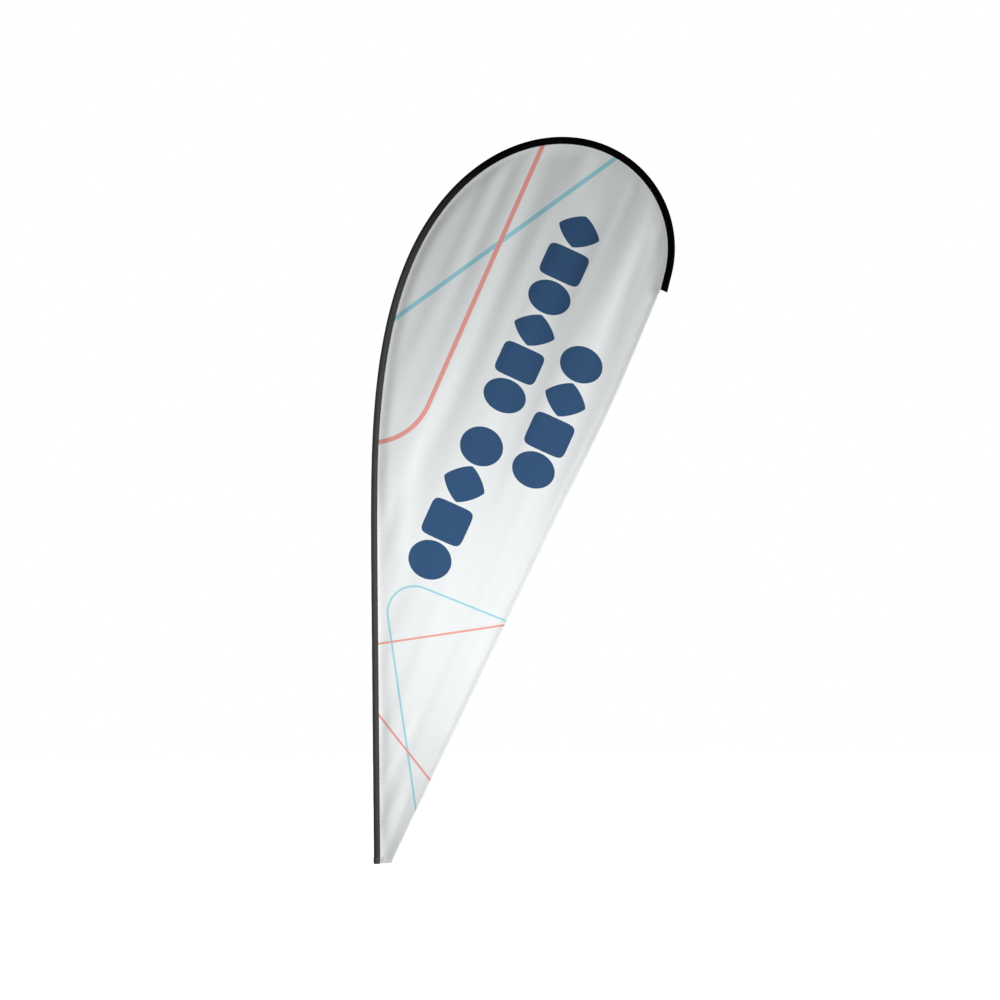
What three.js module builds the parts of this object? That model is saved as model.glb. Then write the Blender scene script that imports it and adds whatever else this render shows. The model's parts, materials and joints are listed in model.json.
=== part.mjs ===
// Teardrop flag: a printed panel that a four-piece pole, bent inside a black sleeve, holds open.
// Millimetres, +Z up. The origin is the middle of the pole's underside. The panel lies in the XZ
// plane, with the pole at X = 0 where it is straight and the free hem on the +X side.

import * as THREE from 'three';

// Pole sections, from the bottom up. Each is plugged into the one below it.
const bottomLength = 909;
const lowerMidLength = 909;
const upperMidLength = 909;
const tipRodLength = 909;
const plugDepth = 80;
const bottomRadius = 8;
const tubeWall = 1.2;
const rodEndRadius = 2;

// Line of the bent pole: straight, then tighter and tighter, then an even hook, then a straight tip.
const bendLead = 122;
const bendRamp = 2010;
const hookRadius = 359;
const tipStraight = 50;

// Gaps. A plug gap separates two tubes that slide in each other, a seat gap two pieces that touch.
const plugGap = 0.3;
const seatGap = 0.3;
const sleeveEase = 0.5;

// Foot bearing, in which the ground stake's spindle stands.
const spindleBoreRadius = 5.2;
const flangeThickness = 3;
const bearingDepth = 60;

// Stop collars between the pole sections, and the cap on the rod's end.
const collarLength = 12;
const capWall = 1.6;
const capDepth = 14;
const capTop = 2.5;

// Sleeve: one strip folded round the pole, with its two edges sewn to the panel.
const sleeveMouth = 0.5;
const sleeveWall = 0.8;
const slimEase = 0.4;
const slimLead = 420;
const slimRun = 540;
const seamLead = 0.1;
const flapLength = 2.2;
const sleeveTail = 4;

// Pocket of doubled cloth that takes the push of the rod's end.
const pocketWall = 1;
const pocketDepth = 40;

// Panel, and the corner where its long hem meets its short bottom hem.
const panelThickness = 1;
const panelFootRise = 1.5;
const cornerReach = 47.5;
const cornerRise = 3;
const hemStep = 1;

// Bow of the long hem: how far it stands out from a straight line, at two distances from its top.
const hemBow = 15;
const hemBowAt = 430;
const hemEase = 7;
const hemEaseAt = 950;

// Strap of hook-and-loop tape that closes the sleeve's mouth round the pole.
const strapHeight = 20;
const strapRise = 1;
const strapThickness = 0.8;
const strapSplit = 0.15;
const patchStart = THREE.MathUtils.degToRad(28);
const patchEnd = THREE.MathUtils.degToRad(112);

// Fineness of the curved shapes.
const bendSag = 0.25;
const longestStep = 110;
const lineStep = 1;
const bearingSides = 24;
const tubeSides = 12;
const sleeveSides = 12;
const bandSides = 16;
const hemSides = 16;

// Radii that follow from the pole: each section fits the bore of the one below.
const bottomBore = bottomRadius - tubeWall;
const lowerMidRadius = bottomBore - plugGap;
const lowerMidBore = lowerMidRadius - tubeWall;
const upperMidRadius = lowerMidBore - plugGap;
const upperMidBore = upperMidRadius - tubeWall;
const rodRadius = upperMidBore - plugGap;

// Heights along the pole line.
const bottomFrom = flangeThickness + seatGap;
const bottomTop = bottomFrom + bottomLength;
const lowerMidFrom = bottomTop - plugDepth;
const lowerMidTop = lowerMidFrom + lowerMidLength;
const upperMidFrom = lowerMidTop - plugDepth;
const upperMidTop = upperMidFrom + upperMidLength;
const rodFrom = upperMidTop - plugDepth;
const rodTop = rodFrom + tipRodLength;
const capFrom = rodTop - capDepth;
const capEnd = rodTop + capTop;
const pocketBack = capEnd + seatGap + pocketWall;
const pocketFrom = pocketBack - pocketDepth;
const sleeveEnd = pocketBack + sleeveTail;
const bendStart = bottomTop - bendLead;
const bendFull = bendStart + bendRamp;
const hookEnd = rodTop - tipStraight;

// Half the slot between the sleeve's two edges, which the panel's edge fills.
const slotHalf = panelThickness / 2 + seatGap;
const sleeveBoreRadius = bottomRadius + sleeveEase;

// ---- The pole line -------------------------------------------------------------------------

/** How far the pole has turned from upright at a length along it, in radians. */
function headingAt(length) {
  const bent = Math.min(length, hookEnd);
  const ramp = THREE.MathUtils.clamp((bent - bendStart) / bendRamp, 0, 1);
  const hook = Math.max(0, bent - bendFull);
  return (bendRamp * ramp ** 3 / 3 + hook) / hookRadius;
}

function curvatureAt(length) {
  if (length > hookEnd) return 0;
  return THREE.MathUtils.clamp((length - bendStart) / bendRamp, 0, 1) ** 2 / hookRadius;
}

/** Points of the pole line at every whole step, in the XZ plane. */
function tracePoleLine() {
  const points = [new THREE.Vector2(0, 0)];
  for (let length = 0; length < sleeveEnd; length += lineStep) {
    const heading = headingAt(length + lineStep / 2);
    const last = points[points.length - 1];
    points.push(new THREE.Vector2(
      last.x + lineStep * Math.sin(heading),
      last.y + lineStep * Math.cos(heading),
    ));
  }
  return points;
}

const poleLine = tracePoleLine();

/** The point beside the pole line at a length along it, a distance towards the panel and across. */
function besidePole(length, inward, across) {
  const index = THREE.MathUtils.clamp(Math.floor(length / lineStep), 0, poleLine.length - 1);
  const rest = length - index * lineStep;
  const heading = headingAt(length);
  const middle = headingAt(index * lineStep + rest / 2);
  return new THREE.Vector3(
    poleLine[index].x + rest * Math.sin(middle) + inward * Math.cos(heading),
    across,
    poleLine[index].y + rest * Math.cos(middle) - inward * Math.sin(heading),
  );
}

/** Lengths at which the bent pieces have a section: every piece end, and closer where it bends. */
function markPole() {
  const ends = [
    sleeveMouth, bottomFrom, lowerMidFrom, bottomTop, upperMidFrom, lowerMidTop, rodFrom,
    upperMidTop, pocketFrom, capFrom, rodTop, capEnd, pocketBack, sleeveEnd,
  ];
  const collars = [bottomTop, lowerMidTop, upperMidTop];
  const marks = [...ends, panelFootRise, ...collars.flatMap(collarSpan)];
  let length = bendStart;
  while (length < hookEnd) {
    marks.push(length);
    length += Math.min(longestStep, Math.sqrt(8 * bendSag / curvatureAt(length)));
  }
  marks.push(hookEnd);
  marks.sort((a, b) => a - b);
  return marks.filter((mark, index) => index === 0 || mark - marks[index - 1] > 1e-6);
}

function collarSpan(top) {
  return [top + seatGap, top + seatGap + collarLength];
}

const poleMarks = markPole();

function marksBetween(from, to) {
  return poleMarks.filter((mark) => mark >= from && mark <= to);
}

// ---- Shapes --------------------------------------------------------------------------------

/** A round piece built straight up the Y axis, bent so that its axis follows the pole line. */
function turnedAlongPole(profile, sides) {
  const geometry = new THREE.LatheGeometry(profile, sides);
  const position = geometry.attributes.position;
  for (let i = 0; i < position.count; i += 1) {
    const place = besidePole(position.getY(i), position.getX(i), -position.getZ(i));
    position.setXYZ(i, place.x, place.y, place.z);
  }
  return geometry;
}

/** A tube between two lengths along the pole, with an outer and an inner radius. */
function poleTube(marks, outer, inner, sides) {
  const down = [...marks].reverse();
  const profile = [
    ...marks.map((mark) => new THREE.Vector2(outer, mark)),
    ...down.map((mark) => new THREE.Vector2(inner, mark)),
    new THREE.Vector2(outer, marks[0]),
  ];
  return turnedAlongPole(profile, sides);
}

/** A closed skin over outlines of equal point count, one at each mark along the pole. */
function loftAlongPole(marks, outlineAt) {
  const outlines = marks.map(outlineAt);
  const count = outlines[0].length;
  const positions = outlines.flatMap((outline, row) =>
    outline.flatMap((point) => besidePole(marks[row], point.x, point.y).toArray()));
  const faces = [];
  for (let row = 0; row + 1 < marks.length; row += 1) {
    for (let i = 0; i < count; i += 1) {
      const next = (i + 1) % count;
      const [a, b] = [row * count + i, row * count + next];
      faces.push(a, b, a + count, b, b + count, a + count);
    }
  }
  const last = (marks.length - 1) * count;
  for (const [a, b, c] of THREE.ShapeUtils.triangulateShape(outlines[0], [])) faces.push(a, c, b);
  for (const [a, b, c] of THREE.ShapeUtils.triangulateShape(outlines[marks.length - 1], [])) {
    faces.push(last + a, last + b, last + c);
  }
  const geometry = new THREE.BufferGeometry();
  geometry.setAttribute('position', new THREE.Float32BufferAttribute(positions, 3));
  geometry.setIndex(faces);
  return geometry;
}

function named(name, geometry, material) {
  const mesh = new THREE.Mesh(geometry, material);
  mesh.name = name;
  return mesh;
}

// ---- Materials -----------------------------------------------------------------------------

const aluminium = new THREE.MeshStandardMaterial({ color: 0xb9bcc0, roughness: 0.4, metalness: 1 });
const composite = new THREE.MeshStandardMaterial({ color: 0x1b1c1e, roughness: 0.35, metalness: 0 });
const fibreglass = new THREE.MeshStandardMaterial({ color: 0xd9d6c4, roughness: 0.4, metalness: 0 });
const nylon = new THREE.MeshStandardMaterial({ color: 0x202123, roughness: 0.55, metalness: 0 });
const rubber = new THREE.MeshStandardMaterial({ color: 0x151515, roughness: 0.8, metalness: 0 });
const printedCloth = new THREE.MeshStandardMaterial({ color: 0xeef0f1, roughness: 0.85, metalness: 0 });
const blackCloth = new THREE.MeshStandardMaterial({ color: 0x101112, roughness: 0.75, metalness: 0 });
const tape = new THREE.MeshStandardMaterial({ color: 0x17181a, roughness: 0.9, metalness: 0 });

// ---- Pole ----------------------------------------------------------------------------------

/** Flanged bush that stays on the stake's spindle while the pole turns round it. */
function makeFootBearing() {
  const shankRadius = bottomBore - plugGap;
  const profile = [
    new THREE.Vector2(bottomRadius, 0),
    new THREE.Vector2(bottomRadius, flangeThickness),
    new THREE.Vector2(shankRadius, flangeThickness),
    new THREE.Vector2(shankRadius, bearingDepth),
    new THREE.Vector2(spindleBoreRadius, bearingDepth),
    new THREE.Vector2(spindleBoreRadius, 0),
    new THREE.Vector2(bottomRadius, 0),
  ];
  return named('foot_bearing', turnedAlongPole(profile, bearingSides), nylon);
}

function makeBottomTube() {
  const geometry = poleTube([bottomFrom, bottomTop], bottomRadius, bottomBore, bearingSides);
  return named('bottom_tube', geometry, aluminium);
}

function makeLowerMidTube() {
  const marks = marksBetween(lowerMidFrom, lowerMidTop);
  return named('lower_mid_tube', poleTube(marks, lowerMidRadius, lowerMidBore, tubeSides), composite);
}

function makeUpperMidTube() {
  const marks = marksBetween(upperMidFrom, upperMidTop);
  return named('upper_mid_tube', poleTube(marks, upperMidRadius, upperMidBore, tubeSides), composite);
}

/** Solid rod, even where it is plugged in and thinner and thinner to its end. */
function makeTipRod() {
  const taper = (mark) => THREE.MathUtils.clamp((mark - upperMidTop) / (rodTop - upperMidTop), 0, 1);
  const profile = [
    new THREE.Vector2(0, rodFrom),
    ...marksBetween(rodFrom, rodTop).map((mark) =>
      new THREE.Vector2(THREE.MathUtils.lerp(rodRadius, rodEndRadius, taper(mark)), mark)),
    new THREE.Vector2(0, rodTop),
  ];
  return named('tip_rod', turnedAlongPole(profile, tubeSides), fibreglass);
}

/** Collar fixed on the upper section, which stops it on top of the lower one. */
function makeCollar(name, top, lowerRadius, upperRadius) {
  const marks = marksBetween(...collarSpan(top));
  return named(name, poleTube(marks, lowerRadius, upperRadius + seatGap, tubeSides), aluminium);
}

/** Round cap on the end of the rod. */
function makeTipCap() {
  const bore = rodEndRadius + seatGap;
  const outer = bore + capWall;
  const profile = [
    new THREE.Vector2(outer, capFrom),
    new THREE.Vector2(outer, rodTop),
    new THREE.Vector2(outer * Math.cos(Math.PI / 4), capEnd),
    new THREE.Vector2(0, capEnd),
  ];
  const hole = [
    new THREE.Vector2(0, rodTop + seatGap),
    new THREE.Vector2(bore, rodTop + seatGap),
    new THREE.Vector2(bore, capFrom),
  ];
  return named('tip_cap', turnedAlongPole([...hole, ...profile], tubeSides), rubber);
}

// ---- Cloth ---------------------------------------------------------------------------------

/** Radius of the sleeve's round part: it eases off as the pole inside gets slimmer. */
function sleeveBoreAt(mark) {
  const slim = lowerMidRadius + slimEase;
  const from = lowerMidTop - slimLead;
  return THREE.MathUtils.lerp(sleeveBoreRadius, slim, THREE.MathUtils.smoothstep(mark, from, from + slimRun));
}

/** Angle, seen from the pole, at which the sleeve leaves the pole's round for a seam at reach. */
function partingAngle(bore, reach) {
  return Math.atan2(slotHalf, reach) + Math.acos(bore / Math.hypot(reach, slotHalf));
}

function sleeveGirth(bore, reach) {
  const flat = Math.sqrt(reach ** 2 + slotHalf ** 2 - bore ** 2);
  return 2 * ((Math.PI - partingAngle(bore, reach)) * bore + flat);
}

/** Distance from the pole line to the seam: the girth of the strip is the same all along. */
function seamReach(bore) {
  const girth = sleeveGirth(sleeveBoreRadius, sleeveBoreRadius + seamLead);
  let low = bore + seamLead;
  let high = girth / 2;
  while (high - low > 1e-4) {
    const middle = (low + high) / 2;
    if (sleeveGirth(bore, middle) < girth) low = middle;
    else high = middle;
  }
  return (low + high) / 2;
}

/** Sizes of the sleeve's section at a length along the pole. */
function sleeveSection(mark) {
  const bore = sleeveBoreAt(mark);
  const reach = seamReach(bore);
  const angle = partingAngle(bore, reach);
  const outer = bore + sleeveWall;
  const flapRoot = (outer - (slotHalf + sleeveWall) * Math.sin(angle)) / Math.cos(angle);
  return { bore, reach, angle, outer, flapRoot, flapEnd: flapRoot + flapLength };
}

function arcPoints(radius, from, to, sides) {
  const turns = Array.from({ length: sides + 1 }, (_, i) => THREE.MathUtils.lerp(from, to, i / sides));
  return turns.map((turn) => new THREE.Vector2(radius * Math.cos(turn), radius * Math.sin(turn)));
}

/** The strip's section: round the pole, and in to two flaps with the panel's slot between. */
function sleeveOutline(mark) {
  const { bore, reach, angle, outer, flapRoot, flapEnd } = sleeveSection(mark);
  const skin = slotHalf + sleeveWall;
  const round = [angle, 2 * Math.PI - angle];
  return [
    new THREE.Vector2(flapEnd, slotHalf),
    new THREE.Vector2(flapEnd, skin),
    new THREE.Vector2(flapRoot, skin),
    ...arcPoints(outer, ...round, sleeveSides),
    new THREE.Vector2(flapRoot, -skin),
    new THREE.Vector2(flapEnd, -skin),
    new THREE.Vector2(flapEnd, -slotHalf),
    new THREE.Vector2(reach, -slotHalf),
    ...arcPoints(bore, ...round, sleeveSides).reverse(),
    new THREE.Vector2(reach, slotHalf),
  ];
}

function makePoleSleeve() {
  const geometry = loftAlongPole(marksBetween(sleeveMouth, sleeveEnd), sleeveOutline);
  return named('pole_sleeve', geometry, blackCloth);
}

/** The long hem, from its top to the foot corner, bowed out a little near its top. */
function hemPoints(top, corner) {
  const along = corner.clone().sub(top).normalize();
  const outward = new THREE.Vector2(-along.y, along.x);
  const bowed = (distance, bow) =>
    top.clone().addScaledVector(along, distance).addScaledVector(outward, bow);
  const line = [top, bowed(hemBowAt, hemBow), bowed(hemEaseAt, hemEase), corner];
  return new THREE.SplineCurve(line).getPoints(hemSides);
}

/** Panel: its curved edge lies in the sleeve's slot, and its hem runs straight to the foot. */
function makeFlagPanel() {
  const seam = marksBetween(panelFootRise, sleeveEnd).map((mark) =>
    besidePole(mark, sleeveSection(mark).reach + seatGap, 0));
  const hemTop = besidePole(sleeveEnd, sleeveSection(sleeveEnd).flapEnd + hemStep, 0);
  const hem = hemPoints(new THREE.Vector2(hemTop.x, hemTop.z), new THREE.Vector2(cornerReach, cornerRise));
  const outline = [...seam.map((point) => new THREE.Vector2(point.x, point.z)), ...hem];
  const geometry = new THREE.ExtrudeGeometry(new THREE.Shape(outline), {
    depth: panelThickness,
    bevelEnabled: false,
  });
  geometry.rotateX(Math.PI / 2);
  geometry.translate(0, panelThickness / 2, 0);
  return named('flag_panel', geometry, printedCloth);
}

/** Pocket closed at the sleeve's end and open towards the pole. */
function makeTipPocket() {
  const outer = sleeveBoreAt(sleeveEnd) - seatGap;
  const inner = outer - pocketWall;
  const floor = pocketBack - pocketWall;
  const profile = [
    new THREE.Vector2(0, floor),
    new THREE.Vector2(inner, floor),
    new THREE.Vector2(inner, pocketFrom),
    new THREE.Vector2(outer, pocketFrom),
    ...marksBetween(pocketFrom, pocketBack).slice(1).map((mark) => new THREE.Vector2(outer, mark)),
    new THREE.Vector2(0, pocketBack),
  ];
  return named('tip_pocket', turnedAlongPole(profile, tubeSides), blackCloth);
}

// ---- Strap at the mouth --------------------------------------------------------------------

/** A flat outline raised by the strap's height, level with the strap. */
function raised(shape) {
  const geometry = new THREE.ExtrudeGeometry(shape, {
    depth: strapHeight,
    bevelEnabled: false,
    curveSegments: bandSides,
  });
  geometry.translate(0, 0, sleeveMouth + strapRise);
  return geometry;
}

/** Front half of the strap, sewn into the seam and laid round the front of the sleeve. */
function makeMouthStrap() {
  const { outer, angle, flapEnd } = sleeveSection(sleeveMouth);
  const inner = outer + seatGap;
  const face = inner + strapThickness;
  const level = slotHalf + sleeveWall + seatGap;
  const root = (inner - level * Math.sin(angle)) / Math.cos(angle);
  const split = Math.PI + Math.asin(strapSplit / inner);
  const shape = new THREE.Shape();
  shape.moveTo(flapEnd, -level);
  shape.lineTo(root, -level);
  shape.absarc(0, 0, inner, -angle, split - 2 * Math.PI, true);
  shape.absarc(0, 0, face, split - 2 * Math.PI, -angle, false);
  shape.lineTo(root + strapThickness, -level - strapThickness);
  shape.lineTo(flapEnd, -level - strapThickness);
  return named('mouth_strap', raised(shape), tape);
}

/** Loop patch sewn on the back of the sleeve, where the strap's free half lands. */
function makeLoopPatch() {
  const inner = sleeveSection(sleeveMouth).outer + seatGap;
  const shape = new THREE.Shape();
  shape.absarc(0, 0, inner + strapThickness, patchStart, patchEnd, false);
  shape.absarc(0, 0, inner, patchEnd, patchStart, true);
  return named('loop_patch', raised(shape), tape);
}

/** Free half of the strap, which starts at the front half's edge and clears the loop patch. */
function makeStrapFlap() {
  const { outer, flapEnd } = sleeveSection(sleeveMouth);
  const lift = strapThickness;
  const inner = outer + seatGap + lift;
  const start = Math.asin((lift - strapSplit) / inner);
  const shape = new THREE.Shape();
  const end = Math.acos((flapEnd - lift) / (inner + strapThickness));
  shape.absarc(lift, lift, inner + strapThickness, end, Math.PI + start, false);
  shape.absarc(lift, lift, inner, Math.PI + start, end, true);
  return named('strap_flap', raised(shape), tape);
}

// ---- Assembly ------------------------------------------------------------------------------

const flag = new THREE.Group();
flag.add(
  makeFootBearing(),
  makeBottomTube(),
  makeLowerMidTube(),
  makeCollar('lower_collar', bottomTop, bottomRadius, lowerMidRadius),
  makeUpperMidTube(),
  makeCollar('middle_collar', lowerMidTop, lowerMidRadius, upperMidRadius),
  makeTipRod(),
  makeCollar('upper_collar', upperMidTop, upperMidRadius, rodRadius),
  makeTipCap(),
  makeTipPocket(),
  makePoleSleeve(),
  makeFlagPanel(),
  makeMouthStrap(),
  makeLoopPatch(),
  makeStrapFlap(),
);

export default flag;
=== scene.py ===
"""Teardrop flag: a printed panel that a four-piece pole, bent inside a black sleeve, holds open.

Metres, +Z up. The panel lies in the XZ plane, with the pole's foot at the origin.
"""

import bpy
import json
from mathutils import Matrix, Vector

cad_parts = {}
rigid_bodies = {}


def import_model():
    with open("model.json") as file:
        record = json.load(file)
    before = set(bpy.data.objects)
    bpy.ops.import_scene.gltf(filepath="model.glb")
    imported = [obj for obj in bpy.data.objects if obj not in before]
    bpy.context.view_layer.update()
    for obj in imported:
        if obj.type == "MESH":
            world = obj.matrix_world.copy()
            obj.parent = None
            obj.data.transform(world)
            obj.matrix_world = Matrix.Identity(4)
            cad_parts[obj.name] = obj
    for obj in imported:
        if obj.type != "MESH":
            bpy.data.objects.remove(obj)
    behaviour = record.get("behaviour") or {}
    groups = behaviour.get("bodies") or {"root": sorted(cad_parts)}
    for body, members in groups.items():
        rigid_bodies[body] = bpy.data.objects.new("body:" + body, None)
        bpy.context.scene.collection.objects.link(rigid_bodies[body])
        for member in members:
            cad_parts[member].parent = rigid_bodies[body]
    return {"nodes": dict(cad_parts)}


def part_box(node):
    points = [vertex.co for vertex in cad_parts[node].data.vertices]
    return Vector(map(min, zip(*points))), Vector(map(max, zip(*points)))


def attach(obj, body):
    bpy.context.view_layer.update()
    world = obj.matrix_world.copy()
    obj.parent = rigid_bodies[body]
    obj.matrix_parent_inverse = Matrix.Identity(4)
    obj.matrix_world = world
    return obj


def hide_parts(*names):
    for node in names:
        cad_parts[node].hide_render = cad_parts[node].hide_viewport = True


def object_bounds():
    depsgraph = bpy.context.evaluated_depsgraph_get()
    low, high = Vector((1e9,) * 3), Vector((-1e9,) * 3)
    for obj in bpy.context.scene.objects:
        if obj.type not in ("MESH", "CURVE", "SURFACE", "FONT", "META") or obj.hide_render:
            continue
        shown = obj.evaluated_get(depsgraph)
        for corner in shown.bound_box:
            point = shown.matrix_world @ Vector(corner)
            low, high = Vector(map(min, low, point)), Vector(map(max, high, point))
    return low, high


bl_info = {
    "name": "Teardrop Flag",
    "version": (1, 0, 0),
    "blender": (4, 5, 0),
    "location": "3D View > Sidebar > Flag",
    "description": "Builds the cloth, thread and fittings of a teardrop flag round its frame",
    "category": "Object",
}

import json
import math

import bpy
import numpy as np
from bpy.props import FloatProperty, FloatVectorProperty, IntProperty, PointerProperty
from mathutils import Matrix, Vector
from mathutils.geometry import delaunay_2d_cdt

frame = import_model()
CAD_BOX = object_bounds()

POLE_FOOT, POLE_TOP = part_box("bottom_tube")
SLEEVE_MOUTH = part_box("pole_sleeve")[0].z
BEARING_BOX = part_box("foot_bearing")
STRAP_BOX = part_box("mouth_strap")
POLE_RADIUS = (POLE_TOP.x - POLE_FOOT.x) / 2


# ---- Sizes and colours a user would change ----


def length_prop(label, description, default):
    return FloatProperty(
        name=label, description=description, default=default, unit="LENGTH", precision=5
    )


def number_prop(label, description, default, **limits):
    return FloatProperty(name=label, description=description, default=default, **limits)


def colour_prop(label, description, default):
    return FloatVectorProperty(
        name=label, description=description, default=default, subtype="COLOR", size=3,
        min=0.0, max=1.0,
    )


class PoleSettings(bpy.types.PropertyGroup):
    """Line of the bent pole and lengths of its sections."""

    section: length_prop("Section", "Length of each of the four pole sections", 0.909)
    plug: length_prop("Plug", "Depth to which a section is plugged into the one below", 0.080)
    bend_lead: length_prop("Bend lead", "How far below the lowest joint the bend begins", 0.122)
    bend_ramp: length_prop("Bend ramp", "Length over which the bend grows to its full curve", 2.010)
    hook_radius: length_prop("Hook radius", "Radius of the even curve round the top", 0.359)
    tip_straight: length_prop("Straight tip", "Length at the rod's end that stays straight", 0.050)
    tube_wall: length_prop("Tube wall", "Wall of every tube", 0.0012)
    slide_gap: length_prop("Gap", "Gap between pieces that touch or slide in each other", 0.0003)
    spindle_bore: length_prop("Spindle bore", "Radius of the bore for the stake's spindle", 0.0052)
    collar_length: length_prop("Collar", "Length of a stop collar", 0.012)


class SleeveSettings(bpy.types.PropertyGroup):
    """The strip of black cloth folded round the pole."""

    ease: length_prop("Ease", "Gap between the lowest tube and the sleeve", 0.0005)
    wall: length_prop("Cloth", "Thickness of the sleeve's cloth", 0.0008)
    slim_ease: length_prop("Slim ease", "Gap round the slimmer sections", 0.0004)
    slim_lead: length_prop("Slim lead", "How far below the second joint the sleeve begins to slim", 0.420)
    slim_run: length_prop("Slim run", "Length over which the sleeve slims", 0.540)
    flap: length_prop("Flap", "Width of the two edges sewn to the panel", 0.0022)
    tail: length_prop("Tail", "Length of sleeve past the rod's pocket", 0.004)
    slant: length_prop("Slant", "How much longer the outer side of the sleeve's end is", 0.0045)
    pucker: length_prop("Pucker", "Depth of the small folds round the hook", 0.00035)
    black: colour_prop("Black", "Colour of the sleeve", (0.0012, 0.0013, 0.0014))
    # Painted sheen: this pale colour is mixed into the sleeve's weave low down as its satin highlight, and
    # fades out towards the hook.
    painted_sheen: colour_prop("Satin", "Colour where the sleeve is taut on the tube", (0.110, 0.110, 0.112))


class PanelSettings(bpy.types.PropertyGroup):
    """The printed panel."""

    thickness: length_prop("Cloth", "Thickness of the panel with its print", 0.0010)
    foot_rise: length_prop("Foot rise", "Height of the panel's edge above the ground at the pole", 0.0015)
    corner_reach: length_prop("Corner reach", "Distance of the foot corner from the pole's middle", 0.0475)
    corner_rise: length_prop("Corner rise", "Height of the foot corner", 0.0030)
    hem_bow: length_prop("Hem bow", "How far the hem bows out near its top", 0.015)
    hem_bow_at: length_prop("Bow place", "Distance of that place from the hem's top", 0.430)
    hem_ease: length_prop("Hem ease", "How far the hem bows out lower down", 0.007)
    hem_ease_at: length_prop("Ease place", "Distance of that place from the hem's top", 0.950)
    hem_width: length_prop("Hem width", "Width of the turned-over hem", 0.010)
    spacing: length_prop("Mesh spacing", "Distance between the panel's points", 0.0105)
    fold_depth: number_prop("Fold depth", "Depth of the soft folds", 1.0, min=0.0, max=2.0)
    fold_seed: IntProperty(name="Fold seed", description="Which run of soft folds is used", default=7, min=0)
    white: colour_prop("White", "Colour of the cloth", (0.842, 0.868, 0.868))
    coral: colour_prop("Coral", "Colour of the coral lines", (0.80, 0.335, 0.298))
    teal: colour_prop("Teal", "Colour of the teal lines", (0.315, 0.635, 0.715))
    navy: colour_prop("Navy", "Colour of the printed blocks", (0.016, 0.068, 0.170))


class ThreadSettings(bpy.types.PropertyGroup):
    """Sewing thread."""

    pitch: length_prop("Pitch", "Distance from one stitch to the next", 0.0040)
    stitch: length_prop("Stitch", "Length of thread that shows in a stitch", 0.0031)
    thickness: length_prop("Thread", "Thickness of the thread", 0.00042)
    pale: colour_prop("Pale", "Colour of the thread in the hem", (0.72, 0.73, 0.73))
    dark: colour_prop("Dark", "Colour of the thread in the sleeve", (0.012, 0.012, 0.013))


class StageSettings(bpy.types.PropertyGroup):
    """Camera and light."""

    view_width: length_prop("View width", "Width seen at the flag", 3.3035)
    distance: length_prop("Distance", "Distance of the camera from the flag", 16.0)
    aim_x: length_prop("Aim across", "Point the camera looks at, across", 0.4185)
    aim_z: length_prop("Aim height", "Point the camera looks at, above the ground", 1.1983)
    lean: number_prop("Lean", "How far the camera is turned", 0.009425, subtype="ANGLE")
    ambient: number_prop("Ambient", "Strength of the even light", 0.17, min=0.0)
    key: number_prop("Key", "Power of the large soft light", 17.4, min=0.0)
    rim: number_prop("Side", "Power of the tall side light", 208.0, min=0.0)
    back: number_prop("Back", "Power of the light behind the flag", 62.0, min=0.0)


SETTINGS = {
    "flag_pole": PoleSettings,
    "flag_sleeve": SleeveSettings,
    "flag_panel": PanelSettings,
    "flag_thread": ThreadSettings,
    "flag_stage": StageSettings,
}


# ---- The pole line ----


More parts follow.
